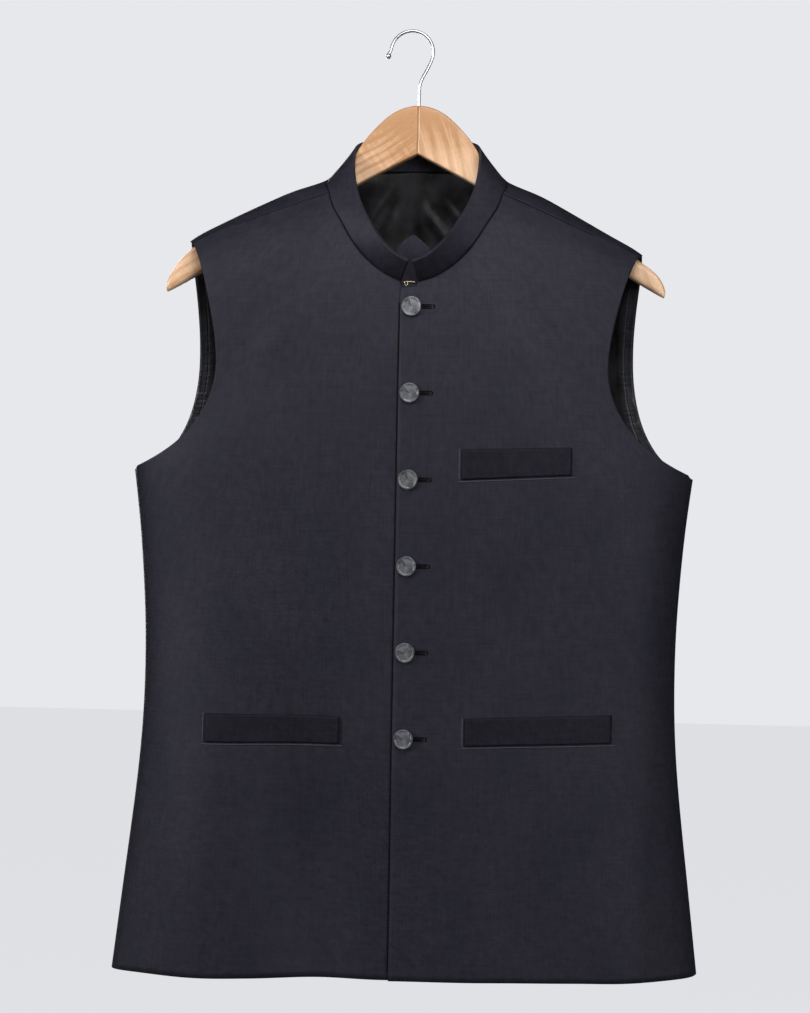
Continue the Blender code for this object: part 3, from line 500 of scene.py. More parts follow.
def subdivide_smooth(piece, levels, sharp_degrees=SHARP_DEGREES, wall=THICKEST_WALL):
    """Subdivides with sharp edges kept. Edges as short as the wall run through its thickness."""
    edit_sharp_edges(piece, sharp_degrees)
    bpy.ops.transform.edge_crease(value=1.0)
    bpy.ops.object.mode_set(mode="OBJECT")
    corners = outline_corners(piece, wall)
    edit_unselected("VERT")
    bpy.ops.object.mode_set(mode="OBJECT")
    for corner in corners:
        piece.data.vertices[corner].select = True
    bpy.ops.object.mode_set(mode="EDIT")
    bpy.ops.transform.vert_crease(value=1.0)
    bpy.ops.object.mode_set(mode="OBJECT")
    smoother = piece.modifiers.new("soft form", "SUBSURF")
    smoother.levels = levels
    smoother.render_levels = levels
    bpy.ops.object.modifier_apply(modifier=smoother.name)
    bpy.ops.object.shade_smooth_by_angle(angle=math.radians(sharp_degrees))
    return piece


def read_points(piece):
    points = np.empty(len(piece.data.vertices) * 3)
    piece.data.vertices.foreach_get("co", points)
    return points.reshape(-1, 3)


def write_points(piece, points):
    piece.data.vertices.foreach_set("co", points.ravel())
    piece.data.update()


# %% Maps on the cloth
SIDE_TURN = 0.8
HALF_WIDTH = 0.25
EDGE_REACH = 0.03
POINTS_AT_ONCE = 4000


def lay_cloth_map(piece, side):
    """A UV map in metres: across the cloth, allowing for its turn at the side, and down it."""
    points = read_points(piece)
    if side:
        across = points[:, 0] + side * SIDE_TURN * points[:, 1]
    else:
        across = points[:, 0] - points[:, 0] / HALF_WIDTH * SIDE_TURN * points[:, 1]
    corners = np.empty(len(piece.data.loops), dtype=np.int32)
    piece.data.loops.foreach_get("vertex_index", corners)
    layer = piece.data.uv_layers.new(name="cloth")
    flat = np.stack([across, points[:, 2]], axis=1)[corners]
    layer.uv.foreach_set("vector", flat.ravel())


def mark_edge_distance(piece, rim):
    """Stores each point's distance from the rim points, in millimetres, up to a reach."""
    points = read_points(piece)
    nearest = np.full(len(points), EDGE_REACH)
    for start in range(0, len(points), POINTS_AT_ONCE):
        part = slice(start, start + POINTS_AT_ONCE)
        gaps = np.sqrt(((points[part, None, :] - rim[None, :, :]) ** 2).sum(axis=2))
        nearest[part] = np.minimum(gaps.min(axis=1), EDGE_REACH)
    attribute = piece.data.attributes.new("edge_mm", "FLOAT", "POINT")
    attribute.data.foreach_set("value", nearest / MM)


# %% [markdown]
# A fold is a soft ridge or trough with its own middle, lean, length, width and depth. Most are
# faint, because the cloth is pressed and hangs freely. The few broad ones in front are those that
# the light shows. The rows give millimetres and degrees, and a fold that stands out is positive.

# %% Folds
Fold = namedtuple("Fold", "x drop half_length lean half_width height bend", defaults=(0.0,))


def fold_height(fold, x, drop):
    """How far the cloth stands out at these points, in millimetres."""
    lean = math.radians(fold.lean)
    along = (drop - fold.drop) * math.cos(lean) + (x - fold.x) * math.sin(lean)
    across = (x - fold.x) * math.cos(lean) - (drop - fold.drop) * math.sin(lean)
    across = across - fold.bend * (along / fold.half_length) ** 2
    body = np.cos(np.pi / 2 * np.clip(across / fold.half_width, -1.0, 1.0)) ** 2
    ends = np.cos(np.pi / 2 * np.clip(along / fold.half_length, -1.0, 1.0)) ** 2
    return fold.height * body * ends


def press_folds(piece, rows, outward):
    """Moves the points out (or in) along Y by the sum of the folds, fading to the side seams."""
    points = read_points(piece)
    x = points[:, 0] / MM
    drop = -points[:, 2] / MM
    height = sum(fold_height(Fold(*row), x, drop) for row in rows)
    fade = np.clip(1.0 - (np.abs(points[:, 0]) / HALF_WIDTH) ** 6, 0.0, 1.0)
    points[:, 1] += outward * height * fade * MM
    write_points(piece, points)
    print(piece.name, "folds:", len(rows), "deepest mm:", round(float(np.abs(height).max()), 1))


FRONT_FOLDS = (  # x, drop, half length, lean, half width, height, bend
    (-190, 780, 330, 2, 80, 10.0, 6),
    (-84, 750, 230, 7, 58, -13.0, -6),
    (-22, 820, 240, 2, 98, -6.0, 4),
    (-58, 400, 180, 3, 46, 1.6, 4),
    (110, 690, 240, 2, 58, -2.0, 6),
    (232, 500, 270, 0, 92, 10.0, 0),
    (204, 840, 230, -2, 50, 4.0, -6),
    (112, 380, 190, -3, 108, 6.0, 4),
    (-150, 300, 120, -24, 30, -0.9, 8),
    (-104, 262, 90, -38, 22, 0.7, -6),
    (-196, 420, 110, 36, 24, -1.0, 10),
    (-170, 470, 130, 26, 28, 0.9, -9),
    (-60, 440, 170, 6, 26, -0.8, 6),
    (-128, 700, 160, -5, 24, 1.0, 7),
    (-222, 690, 140, 4, 20, -1.2, -5),
    (92, 276, 100, 34, 24, 0.7, 7),
    (142, 318, 120, 22, 30, -0.9, -8),
    (200, 430, 110, -34, 26, -1.1, -9),
    (168, 486, 120, -24, 24, 0.8, 8),
    (128, 716, 150, 4, 26, 0.9, -7),
    (226, 700, 150, -3, 18, -1.1, 5),
)
BACK_FOLDS = (
    (-138, 262, 110, -30, 26, -1.2, 9),
    (-92, 300, 130, -20, 24, 1.0, -7),
    (120, 250, 100, 32, 24, -1.1, -8),
    (86, 306, 130, 18, 26, 0.9, 7),
    (-8, 330, 150, 3, 30, -1.0, 4),
    (-190, 440, 110, 34, 24, -1.2, 8),
    (184, 452, 120, -32, 26, -1.3, -9),
    (-104, 560, 170, 6, 26, 1.1, -8),
    (82, 600, 180, -5, 28, -1.2, 8),
    (-206, 700, 140, -4, 22, -1.2, 5),
    (196, 706, 150, 5, 24, 1.2, -6),
)
print("folds:", len(FRONT_FOLDS), "in front,", len(BACK_FOLDS), "behind")

# %% [markdown]
# ## The fronts and the back
#
# The outer face of each panel is suiting. Inside, a front has a facing of the same suiting along
# the buttons and the hem, and satin beyond it. The inner faces are found by their normals: on a
# front they point towards +Y. The middle of the back neck edge has a small dip in the packed
# model, and is lifted level before the panel is subdivided.

# %% Panels
FACING_WIDTH = 0.075
HEM_TURNING = 0.028
INNER_NORMAL = -0.25


def line_inside(piece, outward):
    """Gives the inner faces the satin, except where the facing and the turned hem lie."""
    mesh = piece.data
    lowest = min(vertex.co.z for vertex in mesh.vertices)
    inner = 0
    for face in mesh.polygons:
        if face.normal.y * outward > INNER_NORMAL:
            continue
        if abs(face.center.x) > FACING_WIDTH and face.center.z > lowest + HEM_TURNING:
            face.material_index = 1
            inner += 1
    print(piece.name, "faces:", len(mesh.polygons), "lined:", inner)


def level_neck_edge(piece):
    """Lifts the middle of the back neck edge to its neighbours, as a pressed edge runs."""
    points = read_points(piece)
    across = np.abs(points[:, 0])
    middle = across < 1.0 * MM
    beside = ~middle & (across < 14.0 * MM)
    if not beside.any():
        return
    edge = points[beside, 2].max()
    topmost = middle & (points[:, 2] > points[middle, 2].max() - 1.5 * MM)
    lift = float(edge - points[topmost, 2].mean())
    print(piece.name, "neck edge lifted mm:", round(lift / MM, 1))
    points[topmost, 2] = edge
    write_points(piece, points)


def make_panel(node_name, name, folds, outward, side):
    """A panel of the body; side is -1 or 1 for a front and 0 for the back and its lining."""
    piece = merged_copy(node_name, name)
    if side == 0:
        level_neck_edge(piece)
    subdivide_smooth(piece, LEVELS_OF_DETAIL)
    press_folds(piece, folds, outward)
    lay_cloth_map(piece, side)
    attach(piece, "root")
    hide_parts(node_name)
    return piece


right_front = make_panel("front_right", "jacket_front_right", FRONT_FOLDS, -1, -1)
left_front = make_panel("front_left", "jacket_front_left", FRONT_FOLDS, -1, 1)
back = make_panel("back", "jacket_back", BACK_FOLDS, 1, 0)
for panel in (right_front, left_front, back):
    panel.data.materials.append(suiting)
for panel in (right_front, left_front):
    panel.data.materials.append(satin)
    line_inside(panel, -1)

# %% [markdown]
# ## The back lining
#
# It follows the back panel and has finer creases of its own: under the hanger the satin is slack
# and drops into short diagonal creases, which the picture shows through the neck. They stand in
# towards the torso, never out into the back panel. The armholes' outline is read from a plain copy
# first, for the row of stitches beside it.

# %% Lining
LINING_FOLDS = (
    (-40, 158, 34, -32, 7, -2.6, 2),
    (-27, 170, 38, -27, 7, -2.2, -2),
    (-14, 196, 26, -40, 8, -2.8, 2),
    (-44, 196, 30, 18, 7, -1.8, 2),
    (-24, 222, 28, 52, 8, -2.4, -2),
    (4, 168, 36, 4, 9, -1.6, 3),
    (22, 176, 40, 36, 7, -2.7, -2),
    (38, 164, 34, 42, 6, -2.2, 2),
    (14, 206, 26, 44, 9, -2.8, -3),
    (40, 206, 32, 30, 8, -2.4, 2),
    (26, 232, 30, -48, 8, -2.2, 3),
    (0, 250, 60, 6, 12, -2.0, -4),
    (-70, 270, 90, -24, 12, -2.0, 6),
    (76, 290, 90, 22, 13, -2.2, -6),
    (-120, 380, 110, -12, 12, -2.0, 5),
    (112, 410, 120, 10, 14, -2.2, -6),
    (-30, 480, 150, -4, 13, -2.0, 6),
    (48, 620, 150, 5, 14, -2.2, -6),
    (-96, 660, 130, -6, 13, -2.0, 5),
)
ARMHOLE_TOP_DROP = 205.0
ARMHOLE_LOW_DROP = 392.0
ARMHOLE_FROM_CENTRE = 0.12


def armhole_points(piece):
    """Points along the armholes' outline of a copy, before it is subdivided."""
    edit_sharp_edges(piece, SHARP_DEGREES)
    bpy.ops.object.mode_set(mode="OBJECT")
    picked = []
    for edge in piece.data.edges:
        if not edge.select:
            continue
        ends = [np.array(piece.data.vertices[index].co) for index in edge.vertices]
        for share in (0.0, 0.25, 0.5, 0.75):
            point = ends[0] * (1 - share) + ends[1] * share
            beside = ARMHOLE_TOP_DROP < -point[2] / MM < ARMHOLE_LOW_DROP
            if beside and abs(point[0]) > ARMHOLE_FROM_CENTRE:
                picked.append(point)
    return np.array(picked)


rim_guide = merged_copy("back_lining", "rim_guide")
armhole_rim = armhole_points(rim_guide)
bpy.data.objects.remove(rim_guide)
lining = make_panel("back_lining", "jacket_back_lining", BACK_FOLDS + LINING_FOLDS, 1, 0)
lining.data.materials.append(satin)
mark_edge_distance(lining, armhole_rim)
print("armhole outline points:", len(armhole_rim))

# %% [markdown]
# ## The collar, the stay and the welts
#
# The collar is cut from the same cloth over a stiff band, so it has no folds. Its copy of the
# suiting is painted a little lighter than the panels', and its inner face lighter again: both are
# painted light. The stay behind its ends and the pocket welts are small pressed pieces, and the
# welts take the folds of the fronts that they lie on.

# %% Collar and small cloth
NECK_CENTRE_Y = -0.02
STAY_FOLDS = ((-2, 226, 34, 2, 4, -0.9), (-9, 214, 16, -20, 5, 0.4))
WELT_PANELS = {
    "chest_welt": left_front,
    "pocket_welt_right": right_front,
    "pocket_welt_left": left_front,
}


def make_small_cloth(node_name, name, material, wall):
    piece = subdivide_smooth(merged_copy(node_name, name), LEVELS_OF_DETAIL, wall=wall)
    lay_cloth_map(piece, 0)
    piece.data.materials.append(material)
    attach(piece, "root")
    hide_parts(node_name)
    print(name, "faces:", len(piece.data.polygons))
    return piece


collar = make_small_cloth("collar", "jacket_collar", collar_suiting_painted_lighter, 3.5 * MM)
# The inner faces get the lighter suiting: painted light in the collar's shade.
collar.data.materials.append(inner_suiting_painted_light)
for face in collar.data.polygons:
    inward = Vector((-face.center.x, NECK_CENTRE_Y - face.center.y, 0.0))
    if face.normal.dot(inward) > 0.3 * inward.length:
        face.material_index = 1
stay = make_small_cloth("neck_stay", "jacket_neck_stay", suiting, 1.4 * MM)
press_folds(stay, STAY_FOLDS, -1)
welts = [
    make_small_cloth(node_name, "jacket_" + node_name, welt_suiting, 1.8 * MM)
    for node_name in WELT_PANELS
]
for welt in welts:
    press_folds(welt, FRONT_FOLDS, -1)

# %% [markdown]
# ## The buttons
#
# Six buttons of a smoky plastic close the front. Each has a raised rim and a face brushed in four
# quarters, in turn along and across, and each button was sewn on at its own turn. The brushing is a
# bump; the quarters' different catch of the light is painted sheen, two quarters being painted
# lighter. The face's directions come from a UV map laid flat on it.

# %% Button material
BUTTON_DARK = (0.020, 0.022, 0.026)
BUTTON_LIGHT = (0.22, 0.23, 0.25)


def build_quarters():
    tree, source, result = new_group("brushed quarters, painted sheen", {"Vector": None}, ("Tone", "Height"))
    place = source["Vector"]
    split = split_vector(tree, place)
    along = math_node(tree, "GREATER_THAN", times(tree, split["X"], split["Y"]), 0.0)
    clouds = stretched_noise(tree, place, 2.0, (2.2, 2.2, 1.0))
    brushed = tree.nodes.new("ShaderNodeMix")
    tree.links.new(along, brushed.inputs["Factor"])
    for socket, grains in (("A", (1.5, 16.0, 1.0)), ("B", (16.0, 1.5, 1.0))):
        tree.links.new(stretched_noise(tree, place, 2.0, grains), brushed.inputs[socket])
    lines = brushed.outputs["Result"]
    tone = minus(tree, plus(tree, lines, times(tree, clouds, 1.7)), 1.06)
    # Painted sheen: the quarters brushed one way are lighter in colour.
    tree.links.new(plus(tree, tone, times(tree, along, 0.34)), result["Tone"])
    tree.links.new(lines, result["Height"])
    return tree


quarters = build_quarters()


def make_button_material():
    material, tree, shader = new_material(
        "smoke grey plastic", Coat_Weight=0.5, Coat_Roughness=0.12, Metallic=0.25
    )
    face = use_group(tree, quarters, own_map(tree, "face"))
    colour = mix_colours(tree, face["Tone"], BUTTON_DARK, BUTTON_LIGHT)
    tree.links.new(colour, shader.inputs["Base Color"])
    gloss = plus(tree, times(tree, face["Tone"], -0.25), 0.5)
    tree.links.new(gloss, shader.inputs["Roughness"])
    add_bump(tree, face["Height"], shader, 0.35, 0.2 * MM)
    return material


button_material = make_button_material()
print("button material:", button_material.name)

# %% Button form
BUTTON_RADIUS = 8.6 * MM
BUTTON_HEIGHT = 3.0 * MM
RIM_WIDTH = 1.4 * MM
DISH_DEPTH = 0.45 * MM
BUTTON_TURNS = (12.0, 41.0, 3.0, 24.0, 67.0, 50.0)


def make_button_form(name):
    """A turned disc: a rounded rim round a shallow dish, lying on its back at the origin."""
    bpy.ops.object.select_all(action="DESELECT")
    bpy.ops.mesh.primitive_cylinder_add(
        vertices=48,
        radius=BUTTON_RADIUS,
        depth=BUTTON_HEIGHT,
        location=(0.0, 0.0, BUTTON_HEIGHT / 2),
    )
    button = bpy.context.active_object
    button.name = name
    bpy.ops.object.transform_apply(location=True)
    edit_unselected("FACE")
    bpy.ops.object.mode_set(mode="OBJECT")
    for face in button.data.polygons:
        face.select = face.normal.z > 0.9
    bpy.ops.object.mode_set(mode="EDIT")
    bpy.ops.mesh.inset(thickness=RIM_WIDTH)
    bpy.ops.mesh.inset(thickness=0.5 * MM, depth=-DISH_DEPTH)
    bpy.ops.mesh.inset(thickness=2.4 * MM, depth=0.1 * MM)
    bpy.ops.object.mode_set(mode="OBJECT")
    rounding = button.modifiers.new("rounded rim", "BEVEL")
    rounding.width = 0.45 * MM
    rounding.segments = 3
    rounding.limit_method = "ANGLE"
    rounding.angle_limit = math.radians(30.0)
    bpy.ops.object.modifier_apply(modifier=rounding.name)
    bpy.ops.object.shade_smooth_by_angle(angle=math.radians(40.0))
    layer = button.data.uv_layers.new(name="face")
    for loop in button.data.loops:
        place = button.data.vertices[loop.vertex_index].co
        layer.uv[loop.index].vector = (place.x / BUTTON_RADIUS, place.y / BUTTON_RADIUS)
    return button


def seat_of(node_name):
    """Centre and outward direction of a packed button, from the flat plane of its back."""
    points = read_points(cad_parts[node_name])
    middle = points.mean(axis=0)
    across = np.linalg.svd(points - middle, full_matrices=False)[2]
    outward = across[2] if across[2][1] < 0 else -across[2]
    heights = (points - middle) @ outward
    return Vector(middle + outward * heights.min()), Vector(outward)


buttons = []
for number, turn in enumerate(BUTTON_TURNS, start=1):
    node_name = f"button_{number}"
    button = make_button_form(f"jacket_{node_name}")
    seat, outward = seat_of(node_name)
    facing = outward.to_track_quat("Z", "Y").to_matrix().to_4x4()
    spin = Matrix.Rotation(math.radians(turn), 4, "Z")
    button.data.transform(Matrix.Translation(seat) @ facing @ spin)
    button.data.materials.append(button_material)
    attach(button, "root")
    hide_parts(node_name)
    buttons.append(button)
print("buttons:", len(buttons), "faces each:", len(buttons[0].data.polygons))

# %% [markdown]
# ## The seams
#
# The imported pieces stand 0.3 to 1 mm apart where they are sewn together. A thin cord is laid in
# each gap to close it, and it is black: painted shade for the seam's dark line.
# Its path comes from the imported pieces: the corners of two neighbours that nearly meet, averaged
# over the wall's two faces. In front the cords are thinner, so that they stay in the gap.


# %% Thread material
def make_thread(name, dark, light):
    material, tree, shader = new_material(name, Roughness=0.9, Specular_IOR_Level=0.1)
    twist = stretched_noise(tree, own_place(tree), 1.0, (4000.0, 4000.0, 2500.0))
    tree.links.new(mix_colours(tree, twist, dark, light), shader.inputs["Base Color"])
    add_bump(tree, twist, shader, 0.4, 0.1 * MM)
    return material


# Black thread: real on the buttonholes, and painted shade where it makes the cords in the seams,
# round the welts, along the closure and over the buttonholes' cuts.
black_thread_and_shade = make_thread("black thread", (0.002, 0.002, 0.0025), (0.008, 0.008, 0.009))
# Painted highlight: this thread is lighter than the suiting, for the light lines on the welt ridges.
ridge_highlight_thread = make_thread("ridge thread, painted lighter", (0.036, 0.035, 0.050), (0.074, 0.072, 0.098))
print("threads:", black_thread_and_shade.name, ridge_highlight_thread.name)


# %% Wires
def wire_piece(name, runs, radius, material, rounding=2, slimmer=1.0):
    """Smooth wires through points, as one mesh; slimmer is the radius share where y is below 0."""
    curve = bpy.data.curves.new(name, "CURVE")
    curve.dimensions = "3D"
    curve.bevel_depth = radius
    curve.bevel_resolution = rounding
    curve.use_fill_caps = True
    for run in runs:
        spline = curve.splines.new("BEZIER")
        spline.bezier_points.add(len(run) - 1)
        for knot, place in zip(spline.bezier_points, run):
            knot.co = place
            knot.radius = slimmer if place.y < 0.0 else 1.0
            knot.handle_left_type = "AUTO"
            knot.handle_right_type = "AUTO"
        spline.resolution_u = 6
    piece = bpy.data.objects.new(name, curve)
    scene.collection.objects.link(piece)
    select_only(piece)
    bpy.ops.object.convert(target="MESH")
    piece = bpy.context.active_object
    bpy.ops.object.shade_smooth()
    piece.data.materials.append(material)
    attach(piece, "root")
    print(name, "faces:", len(piece.data.polygons))
    return piece


# %% Seams
SEAM_CORD = 1.15 * MM
SEAM_GROUP_REACH = 4.0 * MM
COLLAR_SEAM_REACH = 1.6 * MM
SIDE_SEAM_REACH = 1.2 * MM
SIDE_SEAM_TOP = -0.36
SHOULDER_SEAM_LOW = -0.3


def seam_path(first, seconds, reach, order):
    """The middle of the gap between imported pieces, in order along the seam."""
    there = np.concatenate([read_points(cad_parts[name]) for name in seconds])
    middles = []
    for point in read_points(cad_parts[first]):
        gaps = np.linalg.norm(there - point, axis=1)
        nearest = gaps.argmin()
        if gaps[nearest] < reach:
            middles.append((point + there[nearest]) / 2)
    middles.sort(key=order)
    path = []
    for point in middles:
        if path and np.linalg.norm(path[-1][-1] - point) < SEAM_GROUP_REACH:
            path[-1].append(point)
        else:
            path.append([point])
    return [Vector(np.mean(group, axis=0)) for group in path]


def around_neck(point):
    return math.atan2(point[0], point[1] - NECK_CENTRE_Y)


def up_the_side(point):
    return point[2], abs(point[0])


neck_pieces = ("front_right", "front_left", "back")
collar_run = seam_path("collar", neck_pieces, COLLAR_SEAM_REACH, around_neck)
seam_runs = []
for front_name in ("front_right", "front_left"):
    joint = seam_path(front_name, ("back",), SIDE_SEAM_REACH, up_the_side)
    side_seam = [point for point in joint if point.z < SIDE_SEAM_TOP]
    shoulder_seam = [point for point in joint if point.z > SHOULDER_SEAM_LOW]
    seam_runs += [side_seam, sorted(shoulder_seam, key=lambda point: abs(point.x))]
for run in (collar_run, *seam_runs):
    print("seam of", len(run), "points from", [round(value, 3) for value in run[0]])
# Painted shade: black cords in the seam gaps.
wire_piece("jacket_collar_seam", [collar_run], SEAM_CORD, black_thread_and_shade, slimmer=0.42)
wire_piece("jacket_seams", seam_runs, SEAM_CORD, black_thread_and_shade, slimmer=0.8)

# %% [markdown]
# ## Painted lines at the edges
#
# Round each welt a dark line of shade runs where the welt is sewn down, and under it the seam
# allowance presses through as a light one. The front edge of the closure has such a dark line of
# shade too. Fine cords make these lines: black ones that paint the shade, and raised ones below each
# welt and beside it, whose colour is painted lighter than the cloth as a highlight. Their points
# are cast onto the panels.

# %% Edge lines
WELT_SHADOW_CORD = 0.45 * MM
CLOSURE_SHADOW_CORD = 0.8 * MM
RIDGE_CORD = 0.75 * MM
RIDGE_GAP = 2.2 * MM
RIDGE_OVERHANG = 3.0 * MM
CLOSURE_LOW = -0.835
CLOSURE_TOP = -0.238
CLOSURE_STEP = 0.012


def on_surface(piece, x, z):
    """Where a level line from the front meets a piece, and its normal there."""
    hit, place, normal, _ = piece.ray_cast(Vector((x, -1.0, z)), Vector((0.0, 1.0, 0.0)))
    return (place, normal) if hit else (None, None)


def lay_line(panel, start, end, count, lift):
    """Points on a panel between two places given as (x, z)."""
    run = []
    for step in range(count + 1):
        share = step / count
        x = start[0] + (end[0] - start[0]) * share
        z = start[1] + (end[1] - start[1]) * share
        place, normal = on_surface(panel, x, z)
        if place is not None:
            run.append(place + normal * lift)
    return run


def welt_corners(node_name):
    """Top left, top right, bottom right and bottom left of a packed welt, as (x, z)."""
    points = read_points(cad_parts[node_name])
    picks = []
    for across, up in ((-1, 1), (1, 1), (1, -1), (-1, -1)):
        best = points[(points[:, 0] * across + points[:, 2] * up).argmax()]
        picks.append((float(best[0]), float(best[2])))
    return picks


bpy.context.view_layer.update()
welt_shadow_runs = []
ridge_runs = []
for node_name, panel in WELT_PANELS.items():
    corners = welt_corners(node_name)
    top_left, _, low_right, low_left = corners
    for start, end in zip(corners, corners[1:] + corners[:1]):
        welt_shadow_runs.append(lay_line(panel, start, end, 14, WELT_SHADOW_CORD * 0.6))
    below_left = (low_left[0] - RIDGE_OVERHANG, low_left[1] - RIDGE_GAP)
    below_right = (low_right[0] + RIDGE_OVERHANG, low_right[1] - RIDGE_GAP)
    above_left = (top_left[0] - RIDGE_GAP, top_left[1] + 1.0 * MM)
    beside_left = (low_left[0] - RIDGE_GAP, low_left[1])
    ridge_runs.append(lay_line(panel, below_left, below_right, 18, 0.0))
    ridge_runs.append(lay_line(panel, beside_left, above_left, 6, 0.0))

lap_points = read_points(left_front)
closure_shadow_run = []
for z in np.arange(CLOSURE_LOW, CLOSURE_TOP, CLOSURE_STEP):
    level = lap_points[(np.abs(lap_points[:, 2] - z) < 4.0 * MM) & (lap_points[:, 0] < 20.0 * MM)]
    lap_edge = float(level[:, 0].min())
    place, normal = on_surface(right_front, lap_edge - CLOSURE_SHADOW_CORD * 0.7, float(z))
    if place is not None:
        closure_shadow_run.append(place + normal * CLOSURE_SHADOW_CORD * 1.6)
# Painted shade: black cords round the welts and along the closure's edge. Painted highlight: the
# ridge cords' colour is lighter than the cloth.
wire_piece("jacket_welt_shadow_lines", welt_shadow_runs, WELT_SHADOW_CORD, black_thread_and_shade, rounding=1)
wire_piece("jacket_closure_shadow_line", [closure_shadow_run], CLOSURE_SHADOW_CORD, black_thread_and_shade, rounding=1)
wire_piece("jacket_welt_ridges", ridge_runs, RIDGE_CORD, ridge_highlight_thread, rounding=1)

# %% [markdown]
# ## The buttonholes
#
# Every buttonhole is worked in black thread: a purl of short stitches on each side of the cut and
# round its outer end. A long black capsule over the cut is painted shade for the dark slit. One
# stitch is a tiny capsule, copied along the outline of the hole and laid on the front panel by
# casting a ray onto it.

# %% Buttonholes
HOLE_START = -2.0 * MM
HOLE_END = 18.5 * MM
HOLE_HALF_HEIGHT = 0.8 * MM
STITCH_LENGTH = 1.3 * MM
STITCH_SPACING = 0.7 * MM
STITCH_RADIUS = 0.33 * MM
STITCH_SIDES = 6


def add_stitch(mesh, start, end, normal, radius):
    """A six-sided capsule that lies on the cloth between two points."""
    run = end - start
    sideways = run.normalized().cross(normal).normalized()
    rows = []
    for share, width in ((0.0, 0.45), (0.25, 1.0), (0.75, 1.0), (1.0, 0.45)):
        rise = math.sin(math.pi * share) * radius * 0.6
        centre = start + run * share + normal * rise
        ring = []
        for step in range(STITCH_SIDES):
            turn = math.tau * step / STITCH_SIDES
            offset = sideways * math.cos(turn) + normal * math.sin(turn)
            ring.append(mesh.verts.new(centre + offset * radius * width))
        rows.append(ring)
    for low, high in zip(rows, rows[1:]):
        for step in range(STITCH_SIDES):
            after = (step + 1) % STITCH_SIDES
            mesh.faces.new((low[step], low[after], high[after], high[step]))
    mesh.faces.new(reversed(rows[0]))
    mesh.faces.new(rows[-1])


def hole_outline():
    """Points round the slit with the outward direction at each, both in the panel's plane."""
    outline = []
    for step in range(int((HOLE_END - HOLE_START) / STITCH_SPACING)):
        for up in (1.0, -1.0):
            point = Vector((HOLE_START + STITCH_SPACING * step, 0.0, up * HOLE_HALF_HEIGHT))
            outline.append((point, Vector((0.0, 0.0, up))))
    for step in range(1, 8):
        turn = math.radians(90.0 - 22.5 * step)
        way = Vector((math.cos(turn), 0.0, math.sin(turn)))
        outline.append((Vector((HOLE_END, 0.0, 0.0)) + way * HOLE_HALF_HEIGHT * 1.4, way))
    return outline


bpy.context.view_layer.update()
hole_mesh = bmesh.new()
for button in buttons:
    corners = [vertex.co for vertex in button.data.vertices]
    centre = sum(corners, Vector()) / len(corners)
    for point, way in hole_outline():
        near, normal = on_surface(left_front, centre.x + point.x, centre.z + point.z)
        far_point = point + way * STITCH_LENGTH
        far, _ = on_surface(left_front, centre.x + far_point.x, centre.z + far_point.z)
        if near is None or far is None:
            continue
        lift = normal * STITCH_RADIUS * 0.5
        add_stitch(hole_mesh, near + lift, far + lift, normal, STITCH_RADIUS)
    # Painted shade: a long black capsule over the cut.
    slit_start, normal = on_surface(left_front, centre.x + HOLE_START, centre.z)
    slit_end, _ = on_surface(left_front, centre.x + HOLE_END, centre.z)
    add_stitch(hole_mesh, slit_start, slit_end, normal, HOLE_HALF_HEIGHT * 0.8)
bmesh.ops.recalc_face_normals(hole_mesh, faces=hole_mesh.faces)
hole_data = bpy.data.meshes.new("jacket_buttonholes")
hole_mesh.to_mesh(hole_data)
hole_mesh.free()
hole_data.shade_smooth()
hole_data.materials.append(black_thread_and_shade)
buttonholes = bpy.data.objects.new("jacket_buttonholes", hole_data)
scene.collection.objects.link(buttonholes)
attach(buttonholes, "root")
print("buttonhole faces:", len(buttonholes.data.polygons))

# %% [markdown]
# ## The hook and eye
#
# Under the collar's gap a small gilt wire hook lies over its bar. Only two bright dashes show from
# two metres, so the form is the usual one: a bar whose ends go through the cloth, and a hook bent
# over it. The rows are millimetres across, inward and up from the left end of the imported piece.

# %% Hook and eye
GILT_WIRE = 0.36 * MM
BAR = (
    (0.5, 0.9, 0.3), (0.4, 0.2, 1.0), (1.6, 0.0, 1.5), (6.0, 0.0, 1.7),
    (10.2, 0.0, 1.5), (11.4, 0.2, 1.0), (11.3, 0.9, 0.3),
)
BENT_HOOK = (
    (2.6, 0.5, 2.1), (2.5, -0.4, 1.7), (2.6, -0.5, -0.8), (3.6, -0.5, -1.9),
    (4.6, -0.5, -0.8), (4.7, -0.4, 1.7), (4.6, 0.5, 2.1),
)


def make_gilt():
    material, tree, shader = new_material("gilt wire", Metallic=1.0)
    wear = stretched_noise(tree, own_place(tree), 2.0, (900.0, 900.0, 900.0))
    colour = mix_colours(tree, wear, (0.42, 0.32, 0.15), (0.85, 0.76, 0.52))
    tree.links.new(colour, shader.inputs["Base Color"])
    tree.links.new(plus(tree, times(tree, wear, 0.2), 0.16), shader.inputs["Roughness"])
    return material


eye_low, eye_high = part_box("hook_and_eye")
eye_place = Vector((eye_low[0], eye_low[1] + GILT_WIRE, (eye_low[2] + eye_high[2]) / 2))
eye_runs = [[eye_place + Vector(step) * MM for step in steps] for steps in (BAR, BENT_HOOK)]
hook_and_eye = wire_piece("jacket_hook_and_eye", eye_runs, GILT_WIRE, make_gilt())
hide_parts("hook_and_eye")

# %% [markdown]
# ## The hanger's wood
#
# The two halves of the hanger are cut with the grain along each arm. The grain group takes the
# object's coordinates turned to the arm, and makes growth lines, fine fibres, a curly figure and
# short pores. The half on the left is curly near the neck. The one on the right is plainer, and its
# figure runs nearly upright. Both are coloured darker towards the top.


